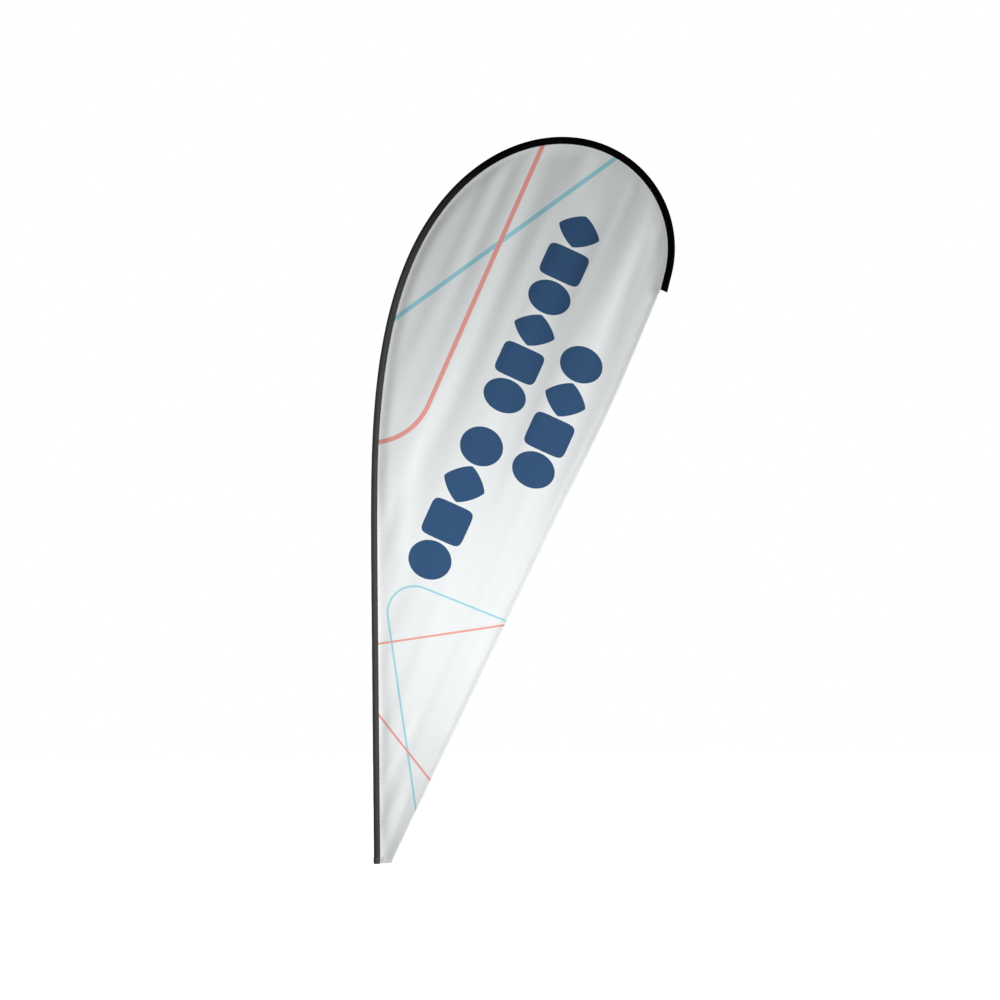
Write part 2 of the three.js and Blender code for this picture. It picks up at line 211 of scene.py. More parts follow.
class PoleLine:
    """Line of the bent pole: straight, then tighter and tighter, then an even hook, then a straight tip."""

    STEP = 0.001

    def __init__(self, pole, sleeve):
        seat, plug = pole.slide_gap, pole.plug
        self.pole, self.sleeve = pole, sleeve
        self.joints = [POLE_TOP.z]
        for _ in range(3):
            self.joints.append(self.joints[-1] - plug + pole.section)
        self.rod_top = self.joints.pop()
        self.cap_end = self.rod_top + 0.0025
        self.pocket_back = self.cap_end + seat + 0.001
        self.end = self.pocket_back + sleeve.tail
        self.bend_start = self.joints[0] - pole.bend_lead
        self.bend_full = self.bend_start + pole.bend_ramp
        self.hook_end = self.rod_top - pole.tip_straight
        lengths = np.arange(0, self.end + 0.05, self.STEP)
        headings = self.heading(lengths[:-1] + self.STEP / 2)
        self.lengths = lengths
        self.x = np.concatenate([[0], np.cumsum(np.sin(headings) * self.STEP)])
        self.z = np.concatenate([[0], np.cumsum(np.cos(headings) * self.STEP)])
        self.slot = 0.0005 + seat
        self.bore_foot = POLE_RADIUS + sleeve.ease
        self.bore_slim = POLE_RADIUS - pole.tube_wall - seat + sleeve.slim_ease
        self.girth = self.girth_of(self.bore_foot, self.bore_foot + 0.0001)
        bores = np.linspace(self.bore_slim, self.bore_foot, 40)
        self.reaches = (bores, np.array([self.reach_of(b) for b in bores]))

    def heading(self, length):
        """How far the pole has turned from upright, in radians."""
        bent = np.minimum(length, self.hook_end)
        ramp = np.clip((bent - self.bend_start) / self.pole.bend_ramp, 0, 1)
        hook = np.maximum(0, bent - self.bend_full)
        return (self.pole.bend_ramp * ramp**3 / 3 + hook) / self.pole.hook_radius

    def beside(self, length, inward, across):
        """Points beside the pole line, a distance towards the panel and across."""
        length, inward, across = np.broadcast_arrays(
            np.asarray(length, float), np.asarray(inward, float), np.asarray(across, float)
        )
        heading = self.heading(length)
        x = np.interp(length, self.lengths, self.x) + inward * np.cos(heading)
        z = np.interp(length, self.lengths, self.z) - inward * np.sin(heading)
        return np.stack([x, across, z], -1)

    def girth_of(self, bore, reach):
        angle = math.atan2(self.slot, reach) + math.acos(bore / math.hypot(reach, self.slot))
        flat = math.sqrt(reach**2 + self.slot**2 - bore**2)
        return 2 * ((math.pi - angle) * bore + flat)

    def reach_of(self, bore):
        """Distance from the pole line to the seam: the girth of the strip is the same all along."""
        low, high = bore + 0.0001, self.girth / 2
        while high - low > 1e-7:
            middle = (low + high) / 2
            low, high = (middle, high) if self.girth_of(bore, middle) < self.girth else (low, middle)
        return (low + high) / 2

    def bore(self, length):
        """Radius of the sleeve's round part, which eases off as the pole inside gets slimmer."""
        start = self.joints[1] - self.sleeve.slim_lead
        share = np.clip((length - start) / self.sleeve.slim_run, 0, 1)
        return self.bore_foot + (self.bore_slim - self.bore_foot) * share**2 * (3 - 2 * share)

    def reach(self, length):
        return np.interp(self.bore(length), *self.reaches)

    def section(self, length):
        """Sizes of the sleeve's section: bore, seam reach, parting angle, flap root and flap end."""
        bore = self.bore(length)
        reach = self.reach(length)
        angle = np.arctan2(self.slot, reach) + np.arccos(bore / np.hypot(reach, self.slot))
        wall = self.sleeve.wall
        root = (bore + wall - (self.slot + wall) * np.sin(angle)) / np.cos(angle)
        return bore, reach, angle, root, root + self.sleeve.flap


def pole_line():
    scene = bpy.context.scene
    return PoleLine(scene.flag_pole, scene.flag_sleeve)


# ---- Meshes ----


def mesh_piece(name, points, faces, uv=None):
    """An object from points and faces, smooth, with its place in its mesh."""
    mesh = bpy.data.meshes.new(name)
    mesh.from_pydata([tuple(p) for p in points], [], [tuple(f) for f in faces])
    mesh.validate()
    mesh.polygons.foreach_set("use_smooth", [True] * len(mesh.polygons))
    if uv is not None:
        layer = mesh.uv_layers.new(name="cloth")
        corners = np.zeros(len(mesh.loops), int)
        mesh.loops.foreach_get("vertex_index", corners)
        layer.data.foreach_set("uv", np.asarray(uv, float)[corners].ravel())
    piece = bpy.data.objects.new(name, mesh)
    bpy.context.scene.collection.objects.link(piece)
    return piece


def choose(piece=None):
    """Leaves only this piece selected and active, or nothing selected."""
    for other in bpy.context.view_layer.objects:
        other.select_set(False)
    if piece:
        piece.select_set(True)
        bpy.context.view_layer.objects.active = piece


def faced_outwards(piece, repair=False):
    """Turns the faces of a piece outwards, and first joins and closes it where that is asked for."""
    choose(piece)
    bpy.ops.object.mode_set(mode="EDIT")
    bpy.ops.mesh.select_all(action="SELECT")
    if repair:
        bpy.ops.mesh.remove_doubles(threshold=1e-6)
        bpy.ops.mesh.fill_holes(sides=0)
    bpy.ops.mesh.normals_make_consistent(inside=False)
    bpy.ops.object.mode_set(mode="OBJECT")
    return piece


def modified(piece, kind, **settings):
    """Adds a modifier and applies it."""
    choose(piece)
    modifier = piece.modifiers.new(kind.title(), kind)
    for key, value in settings.items():
        setattr(modifier, key, value)
    bpy.ops.object.modifier_apply(modifier=modifier.name)
    return piece


def smooth(piece, degrees=40):
    choose(piece)
    bpy.ops.object.shade_smooth_by_angle(angle=math.radians(degrees))
    return piece


def strip_faces(rows, columns, closed=False):
    """Faces of a grid of rows by columns, whose columns may close on themselves."""
    wide = columns if closed else columns - 1
    return [
        (
            row * columns + col,
            row * columns + (col + 1) % columns,
            (row + 1) * columns + (col + 1) % columns,
            (row + 1) * columns + col,
        )
        for row in range(rows - 1)
        for col in range(wide)
    ]


def turned(name, profile, sides=64):
    """A round piece drawn round the Z axis: a ring is pulled and sized to each profile point."""
    choose()
    radius, height = profile[0]
    bpy.ops.mesh.primitive_circle_add(vertices=sides, radius=radius, location=(0, 0, height))
    piece = bpy.context.object
    piece.name = piece.data.name = name
    bpy.ops.object.transform_apply(location=True, rotation=True, scale=True)
    bpy.ops.object.mode_set(mode="EDIT")
    bpy.ops.mesh.select_all(action="SELECT")
    for next_radius, next_height in profile[1:]:
        bpy.ops.mesh.extrude_region_move(
            TRANSFORM_OT_translate={"value": (0, 0, next_height - height)}
        )
        if next_radius < 1e-7:
            bpy.ops.mesh.merge(type="CENTER")
            break
        scale = next_radius / radius
        bpy.ops.transform.resize(value=(scale, scale, 1), center_override=(0, 0, 0))
        radius, height = next_radius, next_height
    bpy.ops.object.mode_set(mode="OBJECT")
    return smooth(faced_outwards(piece, repair=True), 35)


def stood_on_pole(piece, line, length):
    """Turns a piece drawn round the Z axis so that it stands on the pole line, its origin at a length."""
    heading = float(line.heading(np.array(length)))
    place = Vector(line.beside(length, 0, 0))
    piece.data.transform(Matrix.Translation(place) @ Matrix.Rotation(heading, 4, "Y"))
    return piece


# ---- Finishes ----


class Value:
    """A socket on which sums are written as Python expressions."""

    def __init__(self, finish, socket):
        self.finish, self.socket = finish, socket

    def __add__(self, other):
        return self.finish.math("ADD", self, other)

    def __sub__(self, other):
        return self.finish.math("SUBTRACT", self, other)

    def __rsub__(self, other):
        return self.finish.math("SUBTRACT", other, self)

    def __mul__(self, other):
        return self.finish.math("MULTIPLY", self, other)

    def __truediv__(self, other):
        return self.finish.math("DIVIDE", self, other)

    def __pow__(self, other):
        return self.finish.math("POWER", self, other)

    def __gt__(self, other):
        return self.finish.math("GREATER_THAN", self, other)

    __radd__ = __add__
    __rmul__ = __mul__


class Finish:
    """A material under construction, whose constants are set on the shader itself."""

    def __init__(self, name, **constants):
        self.material = bpy.data.materials.new(name)
        self.material.use_nodes = True
        self.tree = self.material.node_tree
        self.tree.nodes.clear()
        self.shader = self.tree.nodes.new("ShaderNodeBsdfPrincipled")
        output = self.tree.nodes.new("ShaderNodeOutputMaterial")
        self.tree.links.new(self.shader.outputs[0], output.inputs[0])
        for key, value in constants.items():
            self.shader.inputs[key.replace("_", " ").title().replace("Ior", "IOR")].default_value = value
        self.place = self.node("ShaderNodeTexCoord", output="Object")

    def node(self, kind, settings=None, values=None, output=0):
        """Adds a node: its settings first, then the values or links of its sockets."""
        made = self.tree.nodes.new(kind)
        for key, value in (settings or {}).items():
            setattr(made, key, value)
        for key, value in (values or {}).items():
            if isinstance(value, Value):
                self.tree.links.new(value.socket, made.inputs[key])
            else:
                made.inputs[key].default_value = value
        return Value(self, made.outputs[output])

    def math(self, operation, *values, clamp=False):
        settings = {"operation": operation, "use_clamp": clamp}
        return self.node("ShaderNodeMath", settings, dict(enumerate(values)))

    def vector(self, operation, *values, output=0):
        return self.node("ShaderNodeVectorMath", {"operation": operation}, dict(enumerate(values)), output)

    def mix(self, share, first, second):
        colours = {6: first, 7: second}
        colours = {k: v if isinstance(v, Value) else (*v, 1.0)[:4] for k, v in colours.items()}
        return self.node("ShaderNodeMix", {"data_type": "RGBA"}, {0: share, **colours}, output=2)

    def parts(self, vector):
        split = self.node("ShaderNodeSeparateXYZ", values={0: vector}).socket.node
        return [Value(self, socket) for socket in split.outputs]

    def noise(self, vector, scale, detail=3.0, roughness=0.5, stretch=None):
        if stretch:
            vector = self.vector("MULTIPLY", vector, stretch)
        values = {"Vector": vector, "Scale": scale, "Detail": detail, "Roughness": roughness}
        return self.node("ShaderNodeTexNoise", values=values, output="Fac")

    def soft_step(self, value, edge=0.0006):
        """1 where value is above nothing, and 0 below, with an edge as wide as ink runs."""
        return self.math("MULTIPLY_ADD", value, 1 / edge, 0.5, clamp=True)

    def bump(self, height, distance, strength):
        values = {"Strength": strength, "Distance": distance, "Height": height}
        self.feed("Normal", self.node("ShaderNodeBump", values=values))

    def feed(self, name, value):
        self.tree.links.new(value.socket, self.shader.inputs[name])

    def skinned(self, colour, roughness, height, depth, strength=0.5):
        """Feeds the colour, the roughness and the relief, and gives the whole material."""
        self.feed("Base Color", colour)
        self.feed("Roughness", roughness)
        self.bump(height, depth, strength)
        return self.material


def finished(piece, material, body):
    """Gives a piece its material and the body it rides on."""
    piece.data.materials.clear()
    piece.data.materials.append(material)
    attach(piece, body)
    return piece


def toned(colour, share, lift=0.0):
    """A colour made darker or paler."""
    return tuple(min(1.0, c * share + lift) for c in colour)


# Widths of the broad and the fine printed lines.
CORAL_WIDE, TEAL_WIDE, CORAL_FINE = 0.0150, 0.0145, 0.0068
TEAL_FINE = CORAL_FINE * 0.96
# Printed lines: start and end in X and Z, and width.
CORAL_LINES = [
    ((0.5930, 2.4175), (0.1849, 1.5143), CORAL_WIDE),
    ((-0.0180, 0.7233), (0.4650, 0.7896), CORAL_FINE),
    ((-0.0080, 0.5172), (0.1990, 0.2500), CORAL_FINE),
]
TEAL_LINES = [
    ((0.8260, 2.3350), (0.0495, 1.7805), TEAL_WIDE),
    ((0.4655, 0.7855), (0.1653, 0.9099), TEAL_FINE),
    ((0.0444, 0.8169), (0.1357, 0.1465), TEAL_FINE),
]
# Printed arcs: centre in X and Z, radius, width, and the headings on whose positive side they lie.
CORAL_ARCS = [((-0.0047, 1.5999), 0.208, CORAL_WIDE, (-0.4117, -0.9113))]
TEAL_ARCS = [((0.1316, 0.8286), 0.088, TEAL_FINE, (-0.9240, 0.3830), (-0.1325, 0.9912))]
# Direction in which the printed rows run, and the direction from their top edge to their foot.
ROW_ALONG = (0.4227, 0.0, 0.9063)
ROW_DOWN = (0.9063, 0.0, -0.4227)
ROW_HEIGHT = 0.145
# Each group of blocks: the first one's top corner in X and Z, how many, and the width of each.
BLOCK_GROUPS = [
    ((0.0923, 0.9754), 4, 0.1371),
    ((0.3480, 1.5233), 6, 0.1189),
    ((0.4390, 1.2734), 4, 0.1272),
]
BLOCK_GAP = 0.008
# How full a diamond is, and the steps from it to a disc and to a rounded square.
DIAMOND_BULGE, DISC_STEP, SQUARE_STEP = 1.3, 0.7, 1.8


# Spacing of the knit's loops across and along the cloth.
WALE_PITCH, COURSE_PITCH = 0.00110, 0.00135


def line_mask(finish, start, end, width):
    """A printed line from one point to another, in X and Z."""
    run = Vector((end[0] - start[0], 0, end[1] - start[1]))
    along = tuple(run.normalized())
    offset = finish.vector("SUBTRACT", finish.flat, (start[0], 0, start[1]))
    share = finish.vector("DOT_PRODUCT", offset, along, output="Value")
    share = finish.math("MINIMUM", finish.math("MAXIMUM", share, 0.0), run.length)
    nearest = finish.node("ShaderNodeVectorMath", {"operation": "SCALE"}, {0: along, "Scale": share})
    distance = finish.vector("DISTANCE", offset, nearest, output="Value")
    return finish.soft_step(width / 2 - distance)


def arc_mask(finish, centre, radius, width, *headings):
    """A printed arc round a centre, on the positive side of each heading."""
    offset = finish.vector("SUBTRACT", finish.flat, (centre[0], 0, centre[1]))
    distance = finish.vector("LENGTH", offset, output="Value")
    mask = finish.soft_step(width / 2 - finish.math("ABSOLUTE", distance - radius))
    for heading in headings:
        ahead = finish.vector("DOT_PRODUCT", offset, (heading[0], 0, heading[1]), output="Value")
        mask = mask * (ahead > 0.0)
    return mask


def block_mask(finish, corner, count, width):
    """A row of blocks: a diamond, a disc and a rounded square in turn."""
    offset = finish.vector("SUBTRACT", finish.flat, (corner[0], 0, corner[1]))
    along = finish.vector("DOT_PRODUCT", offset, ROW_ALONG, output="Value")
    down = finish.vector("DOT_PRODUCT", offset, ROW_DOWN, output="Value")
    block = finish.math("FLOOR", along / width)
    wide = width - BLOCK_GAP
    across = finish.math("ABSOLUTE", (along - block * width) * (2 / wide) - 1.0)
    depth = finish.math("ABSOLUTE", down * (2 / ROW_HEIGHT) - 1.0)
    turn = finish.math("MODULO", block + 1.0, 3.0)
    bulge = turn * DISC_STEP + turn * (turn - 1.0) * SQUARE_STEP + DIAMOND_BULGE
    mask = finish.soft_step(1 - (across**bulge + depth**bulge), 0.012)
    for limit in (along, width * count - BLOCK_GAP - along):
        mask = mask * finish.soft_step(limit)
    return mask


def printed_knit(name, panel):
    """Warp-knitted polyester with lines and blocks printed through it."""
    sheen = {"sheen_weight": 0.08, "sheen_roughness": 0.5}
    f = Finish(name, roughness=0.82, specular_ior_level=0.18, **sheen)
    f.flat = f.vector("MULTIPLY", f.place, (1, 0, 1))
    teal = [line_mask(f, *line) for line in TEAL_LINES] + [arc_mask(f, *arc) for arc in TEAL_ARCS]
    coral = [line_mask(f, *line) for line in CORAL_LINES]
    coral += [arc_mask(f, *arc) for arc in CORAL_ARCS]
    navy = [block_mask(f, *group) for group in BLOCK_GROUPS]
    colour = f.mix(f.noise(f.place, 900.0, 2.0), toned(panel.white, 0.965), panel.white)
    cloudy = f.noise(f.place, 9.0, 3.0)
    colour = f.mix(cloudy * 0.30, colour, toned(panel.white, 0.93))
    ink = f.noise(f.place, 420.0, 3.0)
    # Painted highlight: the cloth's colour is made paler along the welt of the seam allowance.
    painted_welt_highlight = f.node("ShaderNodeAttribute", {"attribute_name": "seam_allowance"}, output="Fac")
    colour = f.mix(painted_welt_highlight * 0.9, colour, toned(panel.white, 1.10))
    for masks, shade in ((teal, panel.teal), (coral, panel.coral), (navy, panel.navy)):
        mask = masks[0]
        for other in masks[1:]:
            mask = f.math("MAXIMUM", mask, other)
        inked = f.mix(ink * 0.5, tuple(shade), toned(shade, 1.16, 0.006))
        colour = f.mix(mask * 0.985, colour, inked)
    x, _, z = f.parts(f.place)
    wales = f.math("SINE", x * (2 * math.pi / WALE_PITCH))
    courses = f.math("SINE", z * (2 * math.pi / COURSE_PITCH))
    relief = wales * courses * 0.5 + f.noise(f.place, 260.0, 2.0) * 0.8
    return f.skinned(colour, f.noise(f.place, 300.0, 2.0) * 0.12 + 0.76, relief, 0.00012, 0.55)


def woven(name, dark, light, pitch, depth, roughness, slack=None):
    """Cloth of over-and-under threads along its own UV map, which is in metres.

    Slack holds the length along the cloth at which the painted sheen of the light colour is gone, and the
    run over which it fades.
    """
    f = Finish(name, specular_ior_level=0.02)
    uv = f.node("ShaderNodeTexCoord", output="UV")
    u, v, _ = f.parts(uv)
    warp = f.math("SINE", u * (2 * math.pi / pitch))
    weft = f.math("SINE", v * (2 * math.pi / pitch) + warp)
    grain = f.noise(uv, 700.0, 3.0)
    threads = warp * weft * 0.5 + 0.5
    share = threads * 0.5 + grain * 0.5
    # Painted sheen: the light colour is faded out up the cloth, so the cloth is paler low down and black
    # beyond the slack length.
    if slack is not None:
        share = share * f.math("MULTIPLY_ADD", v, -1 / slack[1], slack[0] / slack[1], clamp=True)
    colour = f.mix(share, dark, light)
    return f.skinned(colour, grain * 0.16 + (roughness - 0.08), threads + grain * 0.6, depth)


def fuzzy(name, dark, light):
    """Loop pile: a mat of tiny loops."""
    f = Finish(name, specular_ior_level=0.3, sheen_weight=0.35, sheen_roughness=0.5)
    loops = f.node("ShaderNodeTexVoronoi", {"feature": "F1"}, {"Vector": f.place, "Scale": 1500.0})
    mat = f.noise(f.place, 380.0, 5.0, 0.65)
    colour = f.mix(loops * 0.5 + mat * 0.5, dark, light)
    return f.skinned(colour, mat * 0.15 + 0.80, mat + loops * 0.4, 0.0004, 0.7)


def brushed(name, colour, roughness):
    """Drawn aluminium, with fine lines along the tube and light rub marks round it."""
    f = Finish(name, metallic=1.0)
    lines = f.noise(f.place, 1400.0, 2.0, 0.5, (1, 1, 0.012))
    rubs = f.noise(f.place, 60.0, 4.0, 0.6, (0.2, 0.2, 3.0))
    rubbed = f.mix(rubs * 0.6, colour, toned(colour, 0.80))
    return f.skinned(rubbed, lines * 0.16 + rubs * 0.10 + (roughness - 0.10), lines, 0.00002)


def wrapped(name, dark, light):
    """Composite tube: resin over fibres laid round it on a slant."""
    f = Finish(name, specular_ior_level=0.5, coat_weight=0.35, coat_roughness=0.12)
    fibres = f.noise(f.place, 900.0, 3.0, 0.6, (1, 1, 0.35))
    cloud = f.noise(f.place, 55.0, 3.0)
    colour = f.mix(fibres * cloud * 1.6, dark, light)
    return f.skinned(colour, fibres * 0.18 + 0.27, fibres, 0.00003)


def moulded(name, dark, light, roughness, grain):
    """Moulded plastic or rubber with a fine spark-worn skin."""
    f = Finish(name, specular_ior_level=0.45)
    skin = f.noise(f.place, grain, 4.0, 0.6)
    marks = f.noise(f.place, 90.0, 3.0)
    colour = f.mix(marks, dark, light)
    return f.skinned(colour, skin * 0.20 + (roughness - 0.10), skin, 0.00006)


def twisted(name, colour):
    """Thread of two plies."""
    f = Finish(name, specular_ior_level=0.4, sheen_weight=0.2)
    plies = f.noise(f.place, 2600.0, 2.0)
    shades = f.mix(plies, toned(colour, 0.72), tuple(colour))
    return f.skinned(shades, plies * 0.2 + 0.5, plies, 0.00005, 0.6)


FINISHES = {}


def finish_makers():
    """What makes each finish, and its values: colours, sizes in metres, roughness."""
    scene = bpy.context.scene
    sleeve, thread = scene.flag_sleeve, scene.flag_thread
    return {
        "printed_knit": (printed_knit, dict(panel=scene.flag_panel)),
        # The sleeve's light colour is painted sheen, which fades out between 1.90 m and 2.42 m along the
        # sleeve.
        "black_weave": (woven, dict(dark=tuple(sleeve.black), light=tuple(sleeve.painted_sheen), pitch=0.0009,
                                    depth=0.00010, roughness=0.55, slack=(2.42, 0.52))),
        "pocket_weave": (woven, dict(dark=(0.010, 0.010, 0.011), light=(0.030, 0.030, 0.032),
                                     pitch=0.0011, depth=0.00012, roughness=0.7)),
        "strap_tape": (woven, dict(dark=(0.004, 0.004, 0.004), light=(0.150, 0.150, 0.145),
                                   pitch=0.0024, depth=0.00030, roughness=0.72)),
        "loop_tape": (fuzzy, dict(dark=(0.010, 0.010, 0.011), light=(0.055, 0.055, 0.057))),
        "pale_thread": (twisted, dict(colour=tuple(thread.pale))),
        # Painted shade: pale thread darkened to grey to show the shadows of the foot tack's stitches.
        "grey_thread": (twisted, dict(colour=toned(thread.pale, 0.30))),
        "dark_thread": (twisted, dict(colour=tuple(thread.dark))),
        "drawn_aluminium": (brushed, dict(colour=(0.72, 0.73, 0.74), roughness=0.36)),
        "composite": (wrapped, dict(dark=(0.006, 0.006, 0.007), light=(0.030, 0.030, 0.032))),
        "fibreglass": (wrapped, dict(dark=(0.62, 0.60, 0.48), light=(0.78, 0.76, 0.66))),
        "moulded_nylon": (moulded, dict(dark=(0.012, 0.012, 0.013), light=(0.020, 0.020, 0.022),
                                        roughness=0.48, grain=1500.0)),
        "rubber": (moulded, dict(dark=(0.008, 0.008, 0.008), light=(0.016, 0.016, 0.016),
                                 roughness=0.80, grain=900.0)),
    }


def finish_named(name):
    """The material of that name, made when it is first asked for."""
    if name not in FINISHES:
        make, values = finish_makers()[name]
        FINISHES[name] = make(name, **values)
    return FINISHES[name]


# ---- The panel ----


def spline_through(points, count):
    """A smooth line through points, evenly spaced in their order, as the frame's hem is drawn."""
    points = np.asarray(points, float)
    spots = []
    for t in np.linspace(0, 1, count + 1):
        place = (len(points) - 1) * t
        low = min(int(math.floor(place)), len(points) - 2)
        w = place - low
        p0 = points[low if low == 0 else low - 1]
        p1, p2 = points[low], points[low + 1]
        p3 = points[low + 2] if low + 2 < len(points) else points[low + 1]
        v0, v1 = (p2 - p0) / 2, (p3 - p1) / 2
        cubic = (2 * p1 - 2 * p2 + v0 + v1) * w**3 + (-3 * p1 + 3 * p2 - 2 * v0 - v1) * w**2
        spots.append(cubic + v0 * w + p1)
    return np.array(spots)


def even_line(points, step):
    """The same line with points an even step apart."""
    points = np.asarray(points, float)
    run = np.concatenate([[0], np.cumsum(np.linalg.norm(np.diff(points, axis=0), axis=1))])
    count = max(2, int(round(run[-1] / step)) + 1)
    at = np.linspace(0, run[-1], count)
    return np.stack([np.interp(at, run, points[:, k]) for k in range(points.shape[1])], 1)


def hem_line(line, panel):
    """The long hem in X and Z, from its top to the foot corner."""
    flap_end = line.section(np.array(line.end))[4]
    top = line.beside(line.end, flap_end + 0.001, 0)[[0, 2]]
    corner = np.array([panel.corner_reach, panel.corner_rise])
    along = (corner - top) / np.linalg.norm(corner - top)
    outward = np.array([-along[1], along[0]])
    knots = [
        top,
        top + along * panel.hem_bow_at + outward * panel.hem_bow,
        top + along * panel.hem_ease_at + outward * panel.hem_ease,
        corner,
    ]
    return spline_through(knots, 96)


def seam_line(line, panel, inward=0.0):
    """The panel's edge in the sleeve, in X and Z, from the foot up round the hook."""
    lengths = np.arange(panel.foot_rise, line.end, 0.002)
    lengths = np.append(lengths, line.end)
    reach = line.reach(lengths) + 0.0003 + inward
    return line.beside(lengths, reach, 0)[:, [0, 2]]


class Folds:
    """Soft folds of the panel: long waves that run up with the pull from the foot corner."""

    # Spacing across and along the pull, and depth, of each run of waves.
    WAVES = [
        (0.220, 1.00, 0.0220),
        (0.100, 0.60, 0.0170),
        (0.042, 0.42, 0.0092),
        (0.022, 0.30, 0.0027),
    ]
    LATTICE = 40  # points each way in the lattice of a run of waves
    # Single folds: start and end in X and Z, half width, and depth towards the back.
    SINGLE = [
        ((0.024, 0.020), (0.116, 0.240), 0.014, 0.0050),
        ((0.022, 0.120), (0.090, 0.262), 0.013, -0.0042),
        ((0.024, 0.270), (0.130, 0.500), 0.015, -0.0042),
        ((0.015, 0.430), (0.150, 0.760), 0.022, 0.0026),
        ((0.072, 0.980), (0.115, 1.370), 0.036, -0.0078),
        ((0.040, 1.240), (0.240, 1.640), 0.034, -0.0040),
        ((0.760, 1.700), (0.930, 2.080), 0.026, 0.0044),
        ((0.840, 1.820), (0.950, 2.140), 0.020, -0.0034),
        ((0.560, 1.180), (0.800, 1.640), 0.030, 0.0034),
        ((0.230, 0.420), (0.420, 0.800), 0.034, 0.0040),
    ]
    DEEPEST = 0.016  # depth that no fold passes
    # Distances from the seam over which the waves and the single folds grow to their depth.
    WAVES_FREE, SINGLE_FREE = 0.045, 0.018
    # Where the cloth is taut: its middle and reach in X and in Z, and the share of depth lost.
    TAUT_X, TAUT_Z, TAUT_SHARE = (0.36, 0.30), (0.95, 0.55), 0.55

    def __init__(self, panel, seam):
        random = np.random.default_rng(panel.fold_seed)
        self.lattices = [random.uniform(-1, 1, (self.LATTICE, self.LATTICE)) for _ in self.WAVES]
        self.depth = panel.fold_depth
        self.seam = seam

    @staticmethod
    def weights(t):
        """Shares of four lattice points in a row, for a place between the middle two."""
        return [
            (1 - t) ** 3 / 6,
            (3 * t**3 - 6 * t**2 + 4) / 6,
            (-3 * t**3 + 3 * t**2 + 3 * t + 1) / 6,
            t**3 / 6,
        ]

    def smooth_random(self, lattice, u, v):
        """Random heights on a lattice, joined without a crease."""
        total = np.zeros_like(u)
        iu, iv = np.floor(u).astype(int), np.floor(v).astype(int)
        wu, wv = self.weights(u - iu), self.weights(v - iv)
        for a in range(4):
            for b in range(4):
                near = lattice[(iu + a) % self.LATTICE, (iv + b) % self.LATTICE]
                total += wu[a] * wv[b] * near
        return total

    def __call__(self, x, z):
        """How far the cloth stands back from its flat place."""
        x, z = np.atleast_1d(np.asarray(x, float)), np.atleast_1d(np.asarray(z, float))
        along = x * ROW_ALONG[0] + z * ROW_ALONG[2]
        across = x * ROW_DOWN[0] + z * ROW_DOWN[2]
        height = np.zeros_like(x)
        for lattice, (wide, long, deep) in zip(self.lattices, self.WAVES):
            height += deep * self.smooth_random(lattice, across / wide + 9, along / long + 3)
        (mid_x, reach_x), (mid_z, reach_z) = self.TAUT_X, self.TAUT_Z
        calm = np.exp(-(((x - mid_x) / reach_x) ** 2 + ((z - mid_z) / reach_z) ** 2))
        height *= 1 - self.TAUT_SHARE * calm
        local = np.zeros_like(x)
        for start, end, half, deep in self.SINGLE:
            run = np.subtract(end, start)
            size = np.hypot(*run)
            t = ((x - start[0]) * run[0] + (z - start[1]) * run[1]) / size**2
            off = ((x - start[0]) * run[1] - (z - start[1]) * run[0]) / size
            ends = np.exp(-((np.clip(np.abs(t - 0.5) - 0.28, 0, None) / 0.24) ** 2))
            local += deep * ends * np.exp(-((off / half) ** 2))
        gap = distance_to(np.stack([x, z], 1), self.seam)
        height = height * self.let_go(gap, self.WAVES_FREE) + local * self.let_go(gap, self.SINGLE_FREE)
        return self.depth * self.DEEPEST * np.tanh(height / self.DEEPEST)

    @staticmethod
    def let_go(gap, reach):
        """How far the cloth is free of the seam: none at it, all beyond the reach."""
        share = np.clip(gap / reach, 0, 1)
        return share**2 * (3 - 2 * share)


def shared_cloth():
    """The pole line, the panel's seam and hem lines, and its folds."""
    panel = bpy.context.scene.flag_panel
    line = pole_line()
    seam = seam_line(line, panel)
    return line, panel, seam, hem_line(line, panel), Folds(panel, even_line(seam, 0.012))


def offset_line(points, distance):
    """A line beside another, to the left of its run."""
    run = np.gradient(points, axis=0)
    run /= np.linalg.norm(run, axis=1)[:, None]
    return points + distance * np.stack([-run[:, 1], run[:, 0]], 1)


def distance_to(points, path):
    """How far points lie from a line of straight runs."""
    nearest = np.full(len(points), 1e9)
    for start, run in zip(path, np.diff(path, axis=0)):
        offset = points - start
        gap = offset - np.clip(offset @ run / (run @ run), 0, 1)[:, None] * run
        nearest = np.minimum(nearest, np.hypot(gap[:, 0], gap[:, 1]))
    return nearest


def distance_between(points, others):
    """How far points lie from the nearest of other points."""
    nearest = np.full(len(points), 1e9)
    for part in np.array_split(others, max(1, len(others) // 60)):
        gaps = np.linalg.norm(points[:, None, :] - part[None, :, :], axis=2)
        nearest = np.minimum(nearest, gaps.min(1))
    return nearest


def within(points, outline):
    """Which points lie inside the closed outline."""
    inside = np.zeros(len(points), bool)
    following = np.roll(outline, -1, axis=0)
    for (x0, z0), (x1, z1) in zip(outline, following):
        if z0 == z1:
            continue
        crosses = (z0 > points[:, 1]) != (z1 > points[:, 1])
        meets = x0 + (points[:, 1] - z0) * (x1 - x0) / (z1 - z0)
        inside ^= crosses & (points[:, 0] < meets)
    return inside


# Where the seam allowance folded behind the panel starts to rise, is up, starts to fall and ends.
WELT = (0.0030, 0.0038, 0.0064, 0.0072)
DOUBLED = 0.00034  # how far doubled cloth stands out
FOLD_LIP = 0.0008  # width over which doubled cloth rises
RIM_BULGE = 0.00025  # how far the middle of the cut edge stands out
EDGE_STEP = 0.006  # distance between the points of an edge or a crease
EDGE_CLEAR = 0.0045  # distance the other points keep from edges and creases
CREASE_CLEAR = 0.0022  # distance creases keep from the outline
ROW_SHARE = 0.866  # height of a row of even triangles, as a share of their side


